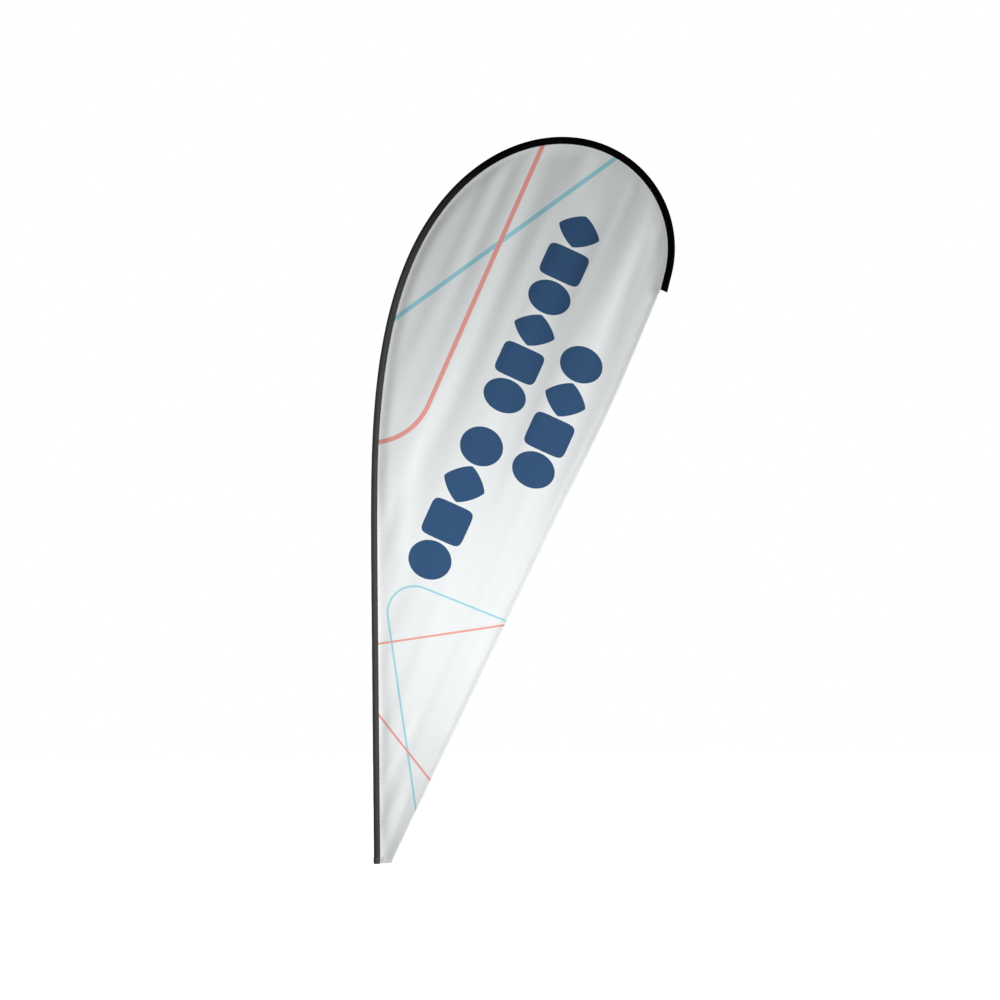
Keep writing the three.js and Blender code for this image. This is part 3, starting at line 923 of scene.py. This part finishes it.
class FLAG_OT_panel(bpy.types.Operator):
    """Makes the printed panel, with its turned hem and soft folds"""

    bl_idname = "flag.panel"
    bl_label = "Panel"

    def execute(self, context):
        line, panel, seam, hem, folds = shared_cloth()
        foot = np.array([hem[-1], seam[0]])
        edges = [even_line(path, EDGE_STEP) for path in (seam, hem, foot)]
        top = even_line(np.array([edges[0][-1], edges[1][0]]), EDGE_STEP)
        outline = np.concatenate([path[:-1] for path in (edges[0], top, edges[1], edges[2])])
        creases = self.creases(line, panel, edges)
        flat, faces = self.flat_mesh(outline, creases, panel.spacing)
        half, welt = self.half_thickness(flat, edges, panel)
        back = folds(flat[:, 0], flat[:, 1])
        points, faces, rim = self.thickened(flat, faces, back, half)
        piece = mesh_piece("flag_cloth", points, faces)
        # Mask of the painted highlight along the welt, on the front and back points.
        painted_welt_highlight = np.concatenate([welt, welt, np.zeros(rim)])
        layer = piece.data.attributes.new("seam_allowance", "FLOAT", "POINT")
        layer.data.foreach_set("value", painted_welt_highlight.astype(np.float32))
        smooth(piece, 50)
        finished(piece, finish_named("printed_knit"), "flag")
        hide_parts("flag_panel")
        return {"FINISHED"}

    @staticmethod
    def creases(line, panel, edges):
        """Lines along which the mesh needs edges: the seam allowance and the turned hems."""
        found = [even_line(seam_line(line, panel, inward), EDGE_STEP)[2:-2] for inward in WELT]
        for inward in (panel.hem_width - FOLD_LIP, panel.hem_width):
            found += [offset_line(edge, -inward) for edge in edges[1:]]
        return found

    @staticmethod
    def flat_mesh(outline, creases, spacing):
        """Points and faces of the flat panel, with edges along its outline and its creases."""
        count = len(outline)
        closed = np.concatenate([outline, outline[:1]])
        edges = [(i, (i + 1) % count) for i in range(count)]
        low, high = outline.min(0), outline.max(0)
        rows = int((high[1] - low[1]) / (spacing * ROW_SHARE)) + 1
        columns = int((high[0] - low[0]) / spacing) + 2
        grid = np.array([
            (low[0] + (i + 0.5 * (j % 2)) * spacing, low[1] + j * spacing * ROW_SHARE)
            for j in range(rows) for i in range(columns)
        ])
        grid = grid[within(grid, outline)]
        guides = []
        for crease in creases:
            kept = within(crease, outline) & (distance_to(crease, closed) > CREASE_CLEAR)
            number = count + sum(len(guide) for guide in guides) + np.cumsum(kept) - 1
            joined = np.flatnonzero(kept[:-1] & kept[1:])
            edges += [(int(number[i]), int(number[i + 1])) for i in joined]
            guides.append(crease[kept])
        guides = np.concatenate(guides)
        grid = grid[distance_to(grid, closed) > EDGE_CLEAR]
        grid = grid[distance_between(grid, guides) > EDGE_CLEAR]
        points = [Vector(p) for p in np.concatenate([outline, guides, grid])]
        made = delaunay_2d_cdt(points, edges, [list(range(count))], 1, 1e-7)
        return np.array([tuple(p) for p in made[0]]), [tuple(f) for f in made[2]]

    @staticmethod
    def half_thickness(flat, edges, panel):
        """Half the cloth's thickness at each point, and where the seam allowance lies."""
        to_seam, to_hem, to_foot = (distance_to(flat, edge) for edge in edges)
        turned_over = np.maximum(
            np.clip((panel.hem_width - to_hem) / FOLD_LIP, 0, 1),
            np.clip((panel.hem_width - to_foot) / FOLD_LIP, 0, 1),
        )
        clear = np.clip((to_seam - WELT[0]) / FOLD_LIP, 0, 1)
        welt = clear * np.clip((WELT[3] - to_seam) / FOLD_LIP, 0, 1)
        half = np.full(len(flat), panel.thickness / 2)
        return half + DOUBLED * np.maximum(turned_over * clear, welt), welt

    @staticmethod
    def thickened(flat, faces, back, half):
        """Points and faces of the front, the back and the rim between them, and the rim's count."""
        total = len(flat)
        skins = [np.stack([flat[:, 0], back + side * half, flat[:, 1]], 1) for side in (-1, 1)]
        all_faces = []
        for face in faces:
            a, b, c = (flat[i] for i in face[:3])
            turn = (b[0] - a[0]) * (c[1] - a[1]) - (b[1] - a[1]) * (c[0] - a[0])
            face = face if turn > 0 else face[::-1]
            all_faces += [face, tuple(total + i for i in face[::-1])]
        front = all_faces[::2]
        uses = dict.fromkeys(pair for face in front for pair in zip(face, face[1:] + face[:1]))
        border = [(a, b) for a, b in uses if (b, a) not in uses]
        outward = {}
        for a, b in border:
            run = flat[b] - flat[a]
            out = np.array([run[1], -run[0]]) / max(np.hypot(*run), 1e-9)
            for i in (a, b):
                outward[i] = outward.get(i, np.zeros(2)) + out
        middle, rim = {}, []
        for i, out in outward.items():
            out = out / max(np.hypot(*out), 1e-9) * RIM_BULGE
            middle[i] = 2 * total + len(rim)
            rim.append((flat[i, 0] + out[0], back[i], flat[i, 1] + out[1]))
        for a, b in border:
            all_faces.append((b, a, middle[a], middle[b]))
            all_faces.append((middle[b], middle[a], total + a, total + b))
        return np.concatenate([*skins, np.array(rim)]), all_faces, len(rim)


# ---- The sleeve ----


# Length and share of each run of small folds round the hook.
PUCKER_WAVES = ((0.0130, 0.5), (0.0175, 0.6), (0.0290, 0.5))
SLEEVE_SEED = 11
SLANT_RUN = 0.03  # length over which the sleeve's end grows its slant


class FLAG_OT_sleeve(bpy.types.Operator):
    """Folds the sleeve's strip round the pole and brings its edges together on the panel"""

    bl_idname = "flag.sleeve"
    bl_label = "Sleeve"

    def execute(self, context):
        line, sleeve = pole_line(), context.scene.flag_sleeve
        step, around, flats = 0.006, 30, 3
        lengths = np.linspace(SLEEVE_MOUTH, line.end, int((line.end - SLEEVE_MOUTH) / step))
        bore, reach, angle, root, flap_end = line.section(lengths)
        middle = bore + sleeve.wall / 2
        level = line.slot + sleeve.wall / 2
        flat_in = [root + t * (flap_end - root) for t in np.linspace(1, 0, flats)]
        turns = [angle + t * (2 * np.pi - 2 * angle) for t in np.linspace(0, 1, around)]
        columns_in = flat_in + [middle * np.cos(turn) for turn in turns] + flat_in[::-1]
        columns_across = [np.full_like(root, level)] * flats
        columns_across += [middle * np.sin(turn) for turn in turns]
        columns_across += [np.full_like(root, -level)] * flats
        inward = np.stack(columns_in, 1)
        across = np.stack(columns_across, 1)
        random = np.random.default_rng(SLEEVE_SEED)
        s = np.broadcast_to(lengths[:, None], inward.shape)
        bend = np.clip((s - line.bend_start) / (line.bend_full - line.bend_start), 0, 1)
        round_part = np.clip(1 - (inward + middle[:, None]) / (2 * middle[:, None]), 0, 1)
        ripple = np.zeros_like(s)
        turn = np.arctan2(across, -inward)
        for wave, share in PUCKER_WAVES:
            phase = random.uniform(0, 2 * np.pi, 3)
            drifts = random.uniform(-2.5, 2.5, 60)
            drift = np.interp(lengths, np.linspace(0, line.end, 60), drifts)[:, None]
            swing = 0.9 * np.sin(2 * turn + phase[1])
            ripple += share * np.sin(2 * np.pi * s / wave + phase[0] + drift + swing)
        near_seam = np.clip((inward - 0.2 * middle[:, None]) / (0.9 * middle[:, None]), 0, 1)
        off_flap = 1 - np.clip((inward - root[:, None]) / 0.001, 0, 1)
        puckers = sleeve.pucker * bend * ripple * near_seam * off_flap
        slack = 0.00012 * np.sin(2 * np.pi * s / 0.11 + 1.3 * np.sin(s * 9)) * round_part
        size = np.maximum(np.hypot(inward, across), 1e-6)
        push = puckers + slack * (1 - bend)
        inward = inward + push * inward / size
        across = across + push * across / size
        near_end = np.clip((s - (line.end - SLANT_RUN)) / SLANT_RUN, 0, 1)
        outerness = np.clip((0.006 - inward) / 0.022, -0.2, 1)
        s = s + sleeve.slant * near_end * outerness
        points = line.beside(s, inward, across).reshape(-1, 3)
        wide = inward.shape[1]
        girth = np.linspace(0, line.girth + 2 * sleeve.flap, wide)
        uv = np.stack(np.broadcast_arrays(girth[None, :], lengths[:, None]), -1).reshape(-1, 2)
        piece = mesh_piece("sleeve_cloth", points, strip_faces(len(lengths), wide), uv)
        modified(piece, "SOLIDIFY", thickness=sleeve.wall, offset=0.0, use_even_offset=True)
        smooth(piece, 50)
        finished(piece, finish_named("black_weave"), "flag")
        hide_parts("pole_sleeve")
        return {"FINISHED"}


class FLAG_OT_pocket(bpy.types.Operator):
    """Sews the pocket that takes the push of the rod's end"""

    bl_idname = "flag.pocket"
    bl_label = "Rod pocket"

    def execute(self, context):
        line = pole_line()
        wall, depth, sides = 0.001, 0.040, 36
        outer = float(line.bore(np.array(line.end))) - 0.0003 - wall / 2
        back = line.pocket_back - wall / 2
        mouth = line.pocket_back - depth
        rings = [(outer, s) for s in np.linspace(mouth, back - 0.0012, 14)]
        rings += [(outer - 0.0004, back - 0.0004), (outer - 0.0016, back)]
        rings += [(outer * 0.45, back), (0.0004, back)]
        turn = np.linspace(0, 2 * np.pi, sides, endpoint=False)
        points, uv = [], []
        for radius, s in rings:
            crimp = 1 - 0.012 * (1 + np.sin(turn * 9 + s * 700)) * (radius > outer * 0.9)
            inward, across = (radius * wave(turn) * crimp for wave in (np.cos, np.sin))
            points.append(line.beside(s, inward, across))
            uv.append(np.stack([turn * outer, np.full(sides, s)], 1))
        points, uv = np.concatenate(points), np.concatenate(uv)
        faces = strip_faces(len(rings), sides, closed=True)
        faces.append(tuple(range((len(rings) - 1) * sides, len(rings) * sides)))
        piece = mesh_piece("rod_pocket", points, faces, uv)
        faced_outwards(piece)
        modified(piece, "SOLIDIFY", thickness=wall * 0.9, offset=0.0)
        smooth(piece, 50)
        finished(piece, finish_named("pocket_weave"), "flag")
        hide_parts("tip_pocket")
        return {"FINISHED"}


# ---- Strap at the mouth ----


TAPE_WALL = 0.0008  # thickness of the hook-and-loop tape


def taped(name, profile, low, high, wall, node, material, body):
    """A strip of tape: a line in X and Y, drawn out along Z, with soft edges."""
    profile = even_line(profile, 0.0007)
    rows = 15
    heights = np.linspace(low, high, rows)
    run = np.concatenate([[0], np.cumsum(np.linalg.norm(np.diff(profile, axis=0), axis=1))])
    points, uv = [], []
    for z in heights:
        points.append(np.column_stack([profile, np.full(len(profile), z)]))
        uv.append(np.column_stack([run, np.full(len(profile), z)]))
    points, uv = np.concatenate(points), np.concatenate(uv)
    piece = mesh_piece(name, points, strip_faces(rows, len(profile)), uv)
    modified(piece, "SOLIDIFY", thickness=wall, offset=0.0)
    corner = {"limit_method": "ANGLE", "angle_limit": math.radians(60)}
    modified(piece, "BEVEL", width=wall * 0.28, segments=2, **corner)
    smooth(piece, 40)
    finished(piece, finish_named(material), body)
    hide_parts(node)
    return piece


class FLAG_OT_strap(bpy.types.Operator):
    """Makes the hook-and-loop strap that closes the sleeve's mouth round the pole"""

    bl_idname = "flag.strap"
    bl_label = "Mouth strap"

    def execute(self, context):
        line, sleeve = pole_line(), context.scene.flag_sleeve
        gap, wall = context.scene.flag_pole.slide_gap, TAPE_WALL
        bore, _, angle, _, flap_end = (float(v) for v in line.section(np.array(SLEEVE_MOUTH)))
        inner = bore + sleeve.wall + gap
        middle = inner + wall / 2
        level = line.slot + sleeve.wall + gap + wall / 2
        low, high = STRAP_BOX[0].z, STRAP_BOX[1].z
        root = (middle - level * math.sin(angle)) / math.cos(angle)
        split = math.pi + 0.00015 / inner
        turns = np.linspace(-angle, split - 2 * math.pi, 60)
        front = [(flap_end, -level), (root + 0.0004, -level)]
        front += [(middle * math.cos(t), middle * math.sin(t)) for t in turns]
        taped("mouth_strap_tape", front, low, high, wall, "mouth_strap", "strap_tape", "flag")
        turns = np.radians(np.linspace(28, 112, 40))
        patch = [(middle * math.cos(t), middle * math.sin(t)) for t in turns]
        taped("loop_patch_tape", patch, low, high, wall, "loop_patch", "loop_tape", "flag")
        lifted = inner + wall
        start = math.asin((wall - 0.00015) / lifted)
        end = math.acos((flap_end - wall) / (lifted + wall))
        turns = np.linspace(end, math.pi + start, 60)
        lift = lifted + wall / 2
        free = [(wall + lift * math.cos(t), wall + lift * math.sin(t)) for t in turns]
        taped("strap_free_half", free, low, high, wall, "strap_flap", "strap_tape", "strap")
        return {"FINISHED"}


# ---- Thread ----


def stitch_shape(thread):
    """One stitch: a short thread with narrowed ends, along X, and which of its points are ends."""
    choose()
    bpy.ops.mesh.primitive_cylinder_add(
        vertices=6, radius=thread.thickness / 2, depth=1.0, end_fill_type="TRIFAN",
        rotation=(0, math.pi / 2, 0),
    )
    piece = bpy.context.object
    bpy.ops.object.transform_apply(location=False, rotation=True, scale=True)
    bpy.ops.object.mode_set(mode="EDIT")
    for side in (-0.3, 0.3):
        bpy.ops.mesh.select_all(action="SELECT")
        bpy.ops.mesh.bisect(plane_co=(side, 0, 0), plane_no=(1, 0, 0))
    bpy.ops.object.mode_set(mode="OBJECT")
    points = np.array([v.co for v in piece.data.vertices])
    faces = [tuple(p.vertices) for p in piece.data.polygons]
    ends = np.abs(points[:, 0]) > 0.45
    points[ends, 1:] *= 0.45
    bpy.data.meshes.remove(piece.data)
    return points, faces, ends


def sewn(name, shape, starts, stops, outward, sink, material, body, slot):
    """One mesh of stitches, each from its start to its stop, with its ends sunk into the cloth."""
    points, faces, ends = shape
    starts, stops, outward = (np.asarray(a, float) for a in (starts, stops, outward))
    run = stops - starts
    size = np.linalg.norm(run, axis=1, keepdims=True)
    forward = run / size
    out = outward - forward * np.sum(outward * forward, 1, keepdims=True)
    out /= np.linalg.norm(out, axis=1, keepdims=True)
    side = np.cross(out, forward)
    middle = (starts + stops) / 2
    lift = np.where(ends, -sink, 0.0)
    placed = (
        middle[:, None, :]
        + points[None, :, 0:1] * run[:, None, :]
        + points[None, :, 1:2] * side[:, None, :]
        + (points[None, :, 2:3] + lift[None, :, None]) * out[:, None, :]
    )
    count = len(points)
    all_faces = [tuple(i * count + v for v in face) for i in range(len(starts)) for face in faces]
    piece = mesh_piece(name, placed.reshape(-1, 3), all_faces)
    return finished(piece, finish_named(material), body)


def stitch_row(path, outward, thread):
    """Starts, stops and outward directions of stitches along a path of points."""
    even = even_line(np.column_stack([path, outward]), thread.pitch)
    spots, out = even[:, :3], even[:, 3:]
    run = spots[1:] - spots[:-1]
    share = thread.stitch / thread.pitch
    starts = spots[:-1] + run * (1 - share) / 2
    stops = spots[1:] - run * (1 - share) / 2
    return starts, stops, out[:-1]


class FLAG_OT_thread(bpy.types.Operator):
    """Sews the hem, the sleeve's seam and the bar tacks"""

    bl_idname = "flag.thread"
    bl_label = "Stitching"

    HEM_ROW = 0.0022  # distance of the hem's stitches from its inner edge
    SEAM_ROW = 0.0009  # distance of the seam's stitches from the edge of the flap
    TACK_WIDE = 0.0060  # width of a bar tack's zigzag
    HEAVY = 1.8  # how much thicker the heavy thread is

    def execute(self, context):
        line, panel, _, hem, folds = shared_cloth()
        thread, sleeve = context.scene.flag_thread, context.scene.flag_sleeve
        shape = stitch_shape(thread)
        heavy = (shape[0] * (1.0, self.HEAVY, self.HEAVY), *shape[1:])
        radius = thread.thickness / 2
        half = panel.thickness / 2 + DOUBLED
        row = offset_line(even_line(hem, 0.004), -(panel.hem_width - self.HEM_ROW))[2:-2]
        back = folds(row[:, 0], row[:, 1])
        self.both_sides(
            "hem_thread", shape, thread, half, "pale_thread", "printed_knit",
            lambda across: np.column_stack([row[:, 0], back + across, row[:, 1]]),
        )
        lengths = np.arange(0.024, line.end - 0.003, 0.004)
        flap_end = line.section(lengths)[4]
        level = line.slot + sleeve.wall
        self.both_sides(
            "seam_thread", shape, thread, level, "dark_thread", "black_weave",
            lambda across: line.beside(lengths, flap_end - self.SEAM_ROW, across),
        )
        corner = hem[3] + (-0.0055, -0.004)
        for name, kind, start, end, count, material in (
            # The foot tack's thread is darkened to grey as painted shade for the shadows round its pale
            # stitches.
            ("foot_tack", heavy, (0.0160, 0.0050), (0.0225, 0.0240), 9, "grey_thread"),
            ("top_tack", shape, corner, corner + (-0.006, -0.018), 10, "pale_thread"),
        ):
            self.tack(name, kind, folds, start, end, count, half, radius, material)
        flap_end = float(line.section(np.array(SLEEVE_MOUTH))[4])
        tape = level + context.scene.flag_pole.slide_gap + TAPE_WALL
        rungs = np.arange(0.0030, 0.0092, 0.00055)
        spots = np.broadcast_arrays(flap_end - 0.0040, -(tape + radius * 0.5), rungs)
        starts = np.stack(spots, 1)
        stops = starts + (0.0036, 0, 0.0003)
        out = np.tile([0.0, -1.0, 0.0], (len(rungs), 1))
        sewn("strap_bar_tack", heavy, starts, stops, out, radius, "dark_thread", "flag", "hook_tape")
        return {"FINISHED"}

    @staticmethod
    def both_sides(name, shape, thread, level, material, slot, path_at):
        """A row of stitches on the front and one on the back, along the path at each level."""
        radius = thread.thickness / 2
        for side, end in ((-1, "_front"), (1, "_back")):
            path = path_at(side * (level + radius * 0.4))
            out = np.tile([0.0, side, 0.0], (len(path), 1))
            row = stitch_row(path, out, thread)
            sewn(name + end, shape, *row, radius * 1.5, material, "flag", slot)

    @classmethod
    def tack(cls, name, shape, folds, start, end, count, half, radius, material):
        """A bar tack: zigzag stitches between two points in X and Z, on both sides of the cloth."""
        start, end = np.array(start), np.array(end)
        run = (end - start) / np.linalg.norm(end - start)
        side = np.array([run[1], -run[0]]) * cls.TACK_WIDE / 2
        share = np.linspace(0, 1, count)[:, None]
        spots = start + (end - start) * share + side * np.where(np.arange(count) % 2, 1, -1)[:, None]
        back = folds(spots[:, 0], spots[:, 1])
        starts, stops, outs = [], [], []
        for face in (-1, 1):
            points = np.column_stack([spots[:, 0], back + face * (half + radius * 0.5), spots[:, 1]])
            starts.append(points[:-1])
            stops.append(points[1:])
            outs.append(np.tile([0.0, face, 0.0], (count - 1, 1)))
        joined = [np.concatenate(part) for part in (starts, stops, outs)]
        sewn(name, shape, *joined, radius * 1.4, material, "flag", "printed_knit")


# ---- Pole fittings ----


def ring_profile(outer, inner, low, high, chamfer):
    """Profile of a ring or tube whose four edges are broken."""
    return [
        (outer - chamfer, low),
        (outer, low + chamfer),
        (outer, high - chamfer),
        (outer - chamfer, high),
        (inner + chamfer, high),
        (inner, high - chamfer),
        (inner, low + chamfer),
        (inner + chamfer, low),
        (outer - chamfer, low),
    ]


class FLAG_OT_fittings(bpy.types.Operator):
    """Makes the bottom tube, the foot bearing, the stop collars and the rod's cap"""

    bl_idname = "flag.fittings"
    bl_label = "Pole fittings"

    def execute(self, context):
        line, pole = pole_line(), context.scene.flag_pole
        bore = POLE_RADIUS - pole.tube_wall
        walls = ring_profile(POLE_RADIUS, bore, POLE_FOOT.z, POLE_TOP.z, 0.00025)
        tube = turned("bottom_pole_tube", walls)
        finished(tube, finish_named("drawn_aluminium"), "bottom_pole")
        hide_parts("bottom_tube")
        self.bearing(pole, bore)
        radii = [POLE_RADIUS, bore - pole.slide_gap, bore - 2 * pole.slide_gap - pole.tube_wall]
        radii.append(radii[-1] - pole.tube_wall - pole.slide_gap)
        for name, top, outer, inner in zip(
            ("lower_collar", "middle_collar", "upper_collar"), line.joints, radii, radii[1:]
        ):
            profile = ring_profile(outer, inner + pole.slide_gap, 0.0, pole.collar_length, 0.0003)
            ring = stood_on_pole(turned(name + "_ring", profile), line, top + pole.slide_gap)
            finished(ring, finish_named("drawn_aluminium"), "flag")
            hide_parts(name)
        rod, wall, depth = 0.002, 0.0016, 0.014
        hole, outer = rod + pole.slide_gap, rod + pole.slide_gap + wall
        profile = [(hole, depth + pole.slide_gap - 0.0001), (hole, 0.0004), (hole + 0.0004, 0.0)]
        profile += [(outer - 0.0005, 0.0), (outer, 0.0005), (outer, depth - 0.0005)]
        crown = line.cap_end - line.rod_top
        profile += [
            (outer * math.cos(t), depth + crown * math.sin(t)) for t in np.radians((18, 36, 54, 72, 86))
        ]
        cap = turned("rod_cap", profile, 40)
        stood_on_pole(cap, line, line.rod_top - depth)
        finished(cap, finish_named("rubber"), "flag")
        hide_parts("tip_cap")
        return {"FINISHED"}

    @staticmethod
    def bearing(pole, bore):
        """The flanged bush in which the stake's spindle stands."""
        shank, hole, flange = bore - pole.slide_gap, pole.spindle_bore, 0.003
        top = BEARING_BOX[1].z
        profile = [
            (hole + 0.0006, 0.0),
            (POLE_RADIUS - 0.0005, 0.0),
            (POLE_RADIUS, 0.0005),
            (POLE_RADIUS, flange - 0.0003),
            (POLE_RADIUS - 0.0003, flange),
            (shank, flange),
            (shank, top - 0.0012),
            (shank - 0.0006, top),
            (hole + 0.0003, top),
            (hole, top - 0.0003),
            (hole, 0.0006),
            (hole + 0.0006, 0.0),
        ]
        bush = turned("foot_bearing_bush", profile)
        finished(bush, finish_named("moulded_nylon"), "foot")
        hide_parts("foot_bearing")


class FLAG_OT_sections(bpy.types.Operator):
    """Gives the bent pole sections their finish"""

    bl_idname = "flag.sections"
    bl_label = "Pole sections"

    def execute(self, context):
        for name, material in (
            ("lower_mid_tube", "composite"),
            ("upper_mid_tube", "composite"),
            ("tip_rod", "fibreglass"),
        ):
            node = frame["nodes"][name]
            node.data.materials.clear()
            node.data.materials.append(finish_named(material))
            node.data.polygons.foreach_set("use_smooth", [True] * len(node.data.polygons))
            node.modifiers.new("Weld", "WELD").merge_threshold = 1e-6
            node.modifiers.new("Edges", "EDGE_SPLIT").split_angle = math.radians(45)
        return {"FINISHED"}


class FLAG_OT_declare(bpy.types.Operator):
    """Works out the cloth's lines and the sleeve's girth and length, and keeps none of them"""

    bl_idname = "flag.declare"
    bl_label = "Cloth sizes"

    def execute(self, context):
        line, panel, seam, hem, _ = shared_cloth()
        sleeve = context.scene.flag_sleeve
        girth = line.girth + 2 * sleeve.flap
        float(line.end - SLEEVE_MOUTH)
        return {"FINISHED"}


# ---- Stage ----


# Place, aim, width and height of each light, and the setting that holds its power.
LIGHTS = {
    "key_light": ((0.34, -1.45, 0.78), (0.34, 0, 0.78), (0.8, 1.0), "key"),
    "side_light": ((6.0, -2.0, 1.6), (0.4, 0, 1.2), (1.2, 2.6), "rim"),
    "back_light": ((1.4, 3.0, 1.7), (0.4, 0, 1.2), (1.5, 2.0), "back"),
}


class FLAG_OT_stage(bpy.types.Operator):
    """Sets the pale floor, the soft light and the camera"""

    bl_idname = "flag.stage"
    bl_label = "Stage"

    def execute(self, context):
        stage = context.scene.flag_stage
        aim = Vector((stage.aim_x, 0, stage.aim_z))
        choose()
        bpy.ops.mesh.primitive_plane_add(size=14, location=(aim.x, 0, CAD_BOX[0].z))
        floor = bpy.context.object
        floor.name = "floor"
        floor.visible_diffuse = floor.visible_glossy = False
        paint = Finish("floor_paint", base_color=(0.30, 0.30, 0.30, 1), emission_color=(1, 1, 1, 1),
                       emission_strength=1.0, roughness=0.9, specular_ior_level=0.0)
        floor.data.materials.append(paint.material)
        for name, (place, target, size, power) in LIGHTS.items():
            self.soft_light(name, place, target, size, getattr(stage, power))
        world = context.scene.world or bpy.data.worlds.new("studio")
        context.scene.world = world
        world.use_nodes = True
        tree = world.node_tree
        tree.nodes.clear()
        path = tree.nodes.new("ShaderNodeLightPath")
        strength = tree.nodes.new("ShaderNodeMapRange")
        strength.inputs["To Min"].default_value = stage.ambient
        strength.inputs["To Max"].default_value = 1.0
        background = tree.nodes.new("ShaderNodeBackground")
        background.inputs["Color"].default_value = (1, 1, 1, 1)
        output = tree.nodes.new("ShaderNodeOutputWorld")
        tree.links.new(path.outputs["Is Camera Ray"], strength.inputs["Value"])
        tree.links.new(strength.outputs[0], background.inputs["Strength"])
        tree.links.new(background.outputs[0], output.inputs[0])
        context.scene.view_settings.view_transform = "Standard"
        camera = bpy.data.objects.new("camera", bpy.data.cameras.new("camera"))
        context.scene.collection.objects.link(camera)
        up = Vector((math.sin(stage.lean), 0, math.cos(stage.lean)))
        back = Vector((0, -1, 0))
        right = up.cross(back)
        turn = Matrix((right, up, back)).transposed().to_4x4()
        camera.matrix_world = Matrix.Translation(aim + back * stage.distance) @ turn
        camera.data.lens = camera.data.sensor_width * stage.distance / stage.view_width
        camera.data.clip_end = 200
        camera.data.dof.use_dof = False
        context.scene.camera = camera
        return {"FINISHED"}

    @staticmethod
    def soft_light(name, place, aim, size, power):
        data = bpy.data.lights.new(name, "AREA")
        data.shape, data.size, data.size_y, data.energy = "RECTANGLE", size[0], size[1], power
        light = bpy.data.objects.new(name, data)
        bpy.context.scene.collection.objects.link(light)
        light.location = place
        light.rotation_euler = (Vector(aim) - Vector(place)).to_track_quat("-Z", "Y").to_euler()
        light.visible_camera = False


# ---- Add-on ----

OPERATORS = [
    FLAG_OT_panel,
    FLAG_OT_sleeve,
    FLAG_OT_pocket,
    FLAG_OT_strap,
    FLAG_OT_thread,
    FLAG_OT_fittings,
    FLAG_OT_sections,
    FLAG_OT_declare,
    FLAG_OT_stage,
]


class FLAG_PT_build(bpy.types.Panel):
    """Lists the sizes, the colours and the steps of the flag"""

    bl_label = "Teardrop Flag"
    bl_space_type = "VIEW_3D"
    bl_region_type = "UI"
    bl_category = "Flag"

    def draw(self, context):
        for operator in OPERATORS:
            self.layout.operator(operator.bl_idname)
        for name, group in SETTINGS.items():
            box = self.layout.box()
            box.label(text=group.__name__)
            for prop in group.__annotations__:
                box.prop(getattr(context.scene, name), prop)


def register():
    for name, group in SETTINGS.items():
        bpy.utils.register_class(group)
        setattr(bpy.types.Scene, name, PointerProperty(type=group))
    for operator in OPERATORS:
        bpy.utils.register_class(operator)
    bpy.utils.register_class(FLAG_PT_build)


def unregister():
    bpy.utils.unregister_class(FLAG_PT_build)
    for operator in reversed(OPERATORS):
        bpy.utils.unregister_class(operator)
    for name, group in SETTINGS.items():
        delattr(bpy.types.Scene, name)
        bpy.utils.unregister_class(group)


def main():
    register()
    for operator in OPERATORS:
        group, step = operator.bl_idname.split(".")
        getattr(getattr(bpy.ops, group), step)()


if __name__ == "__main__":
    main()
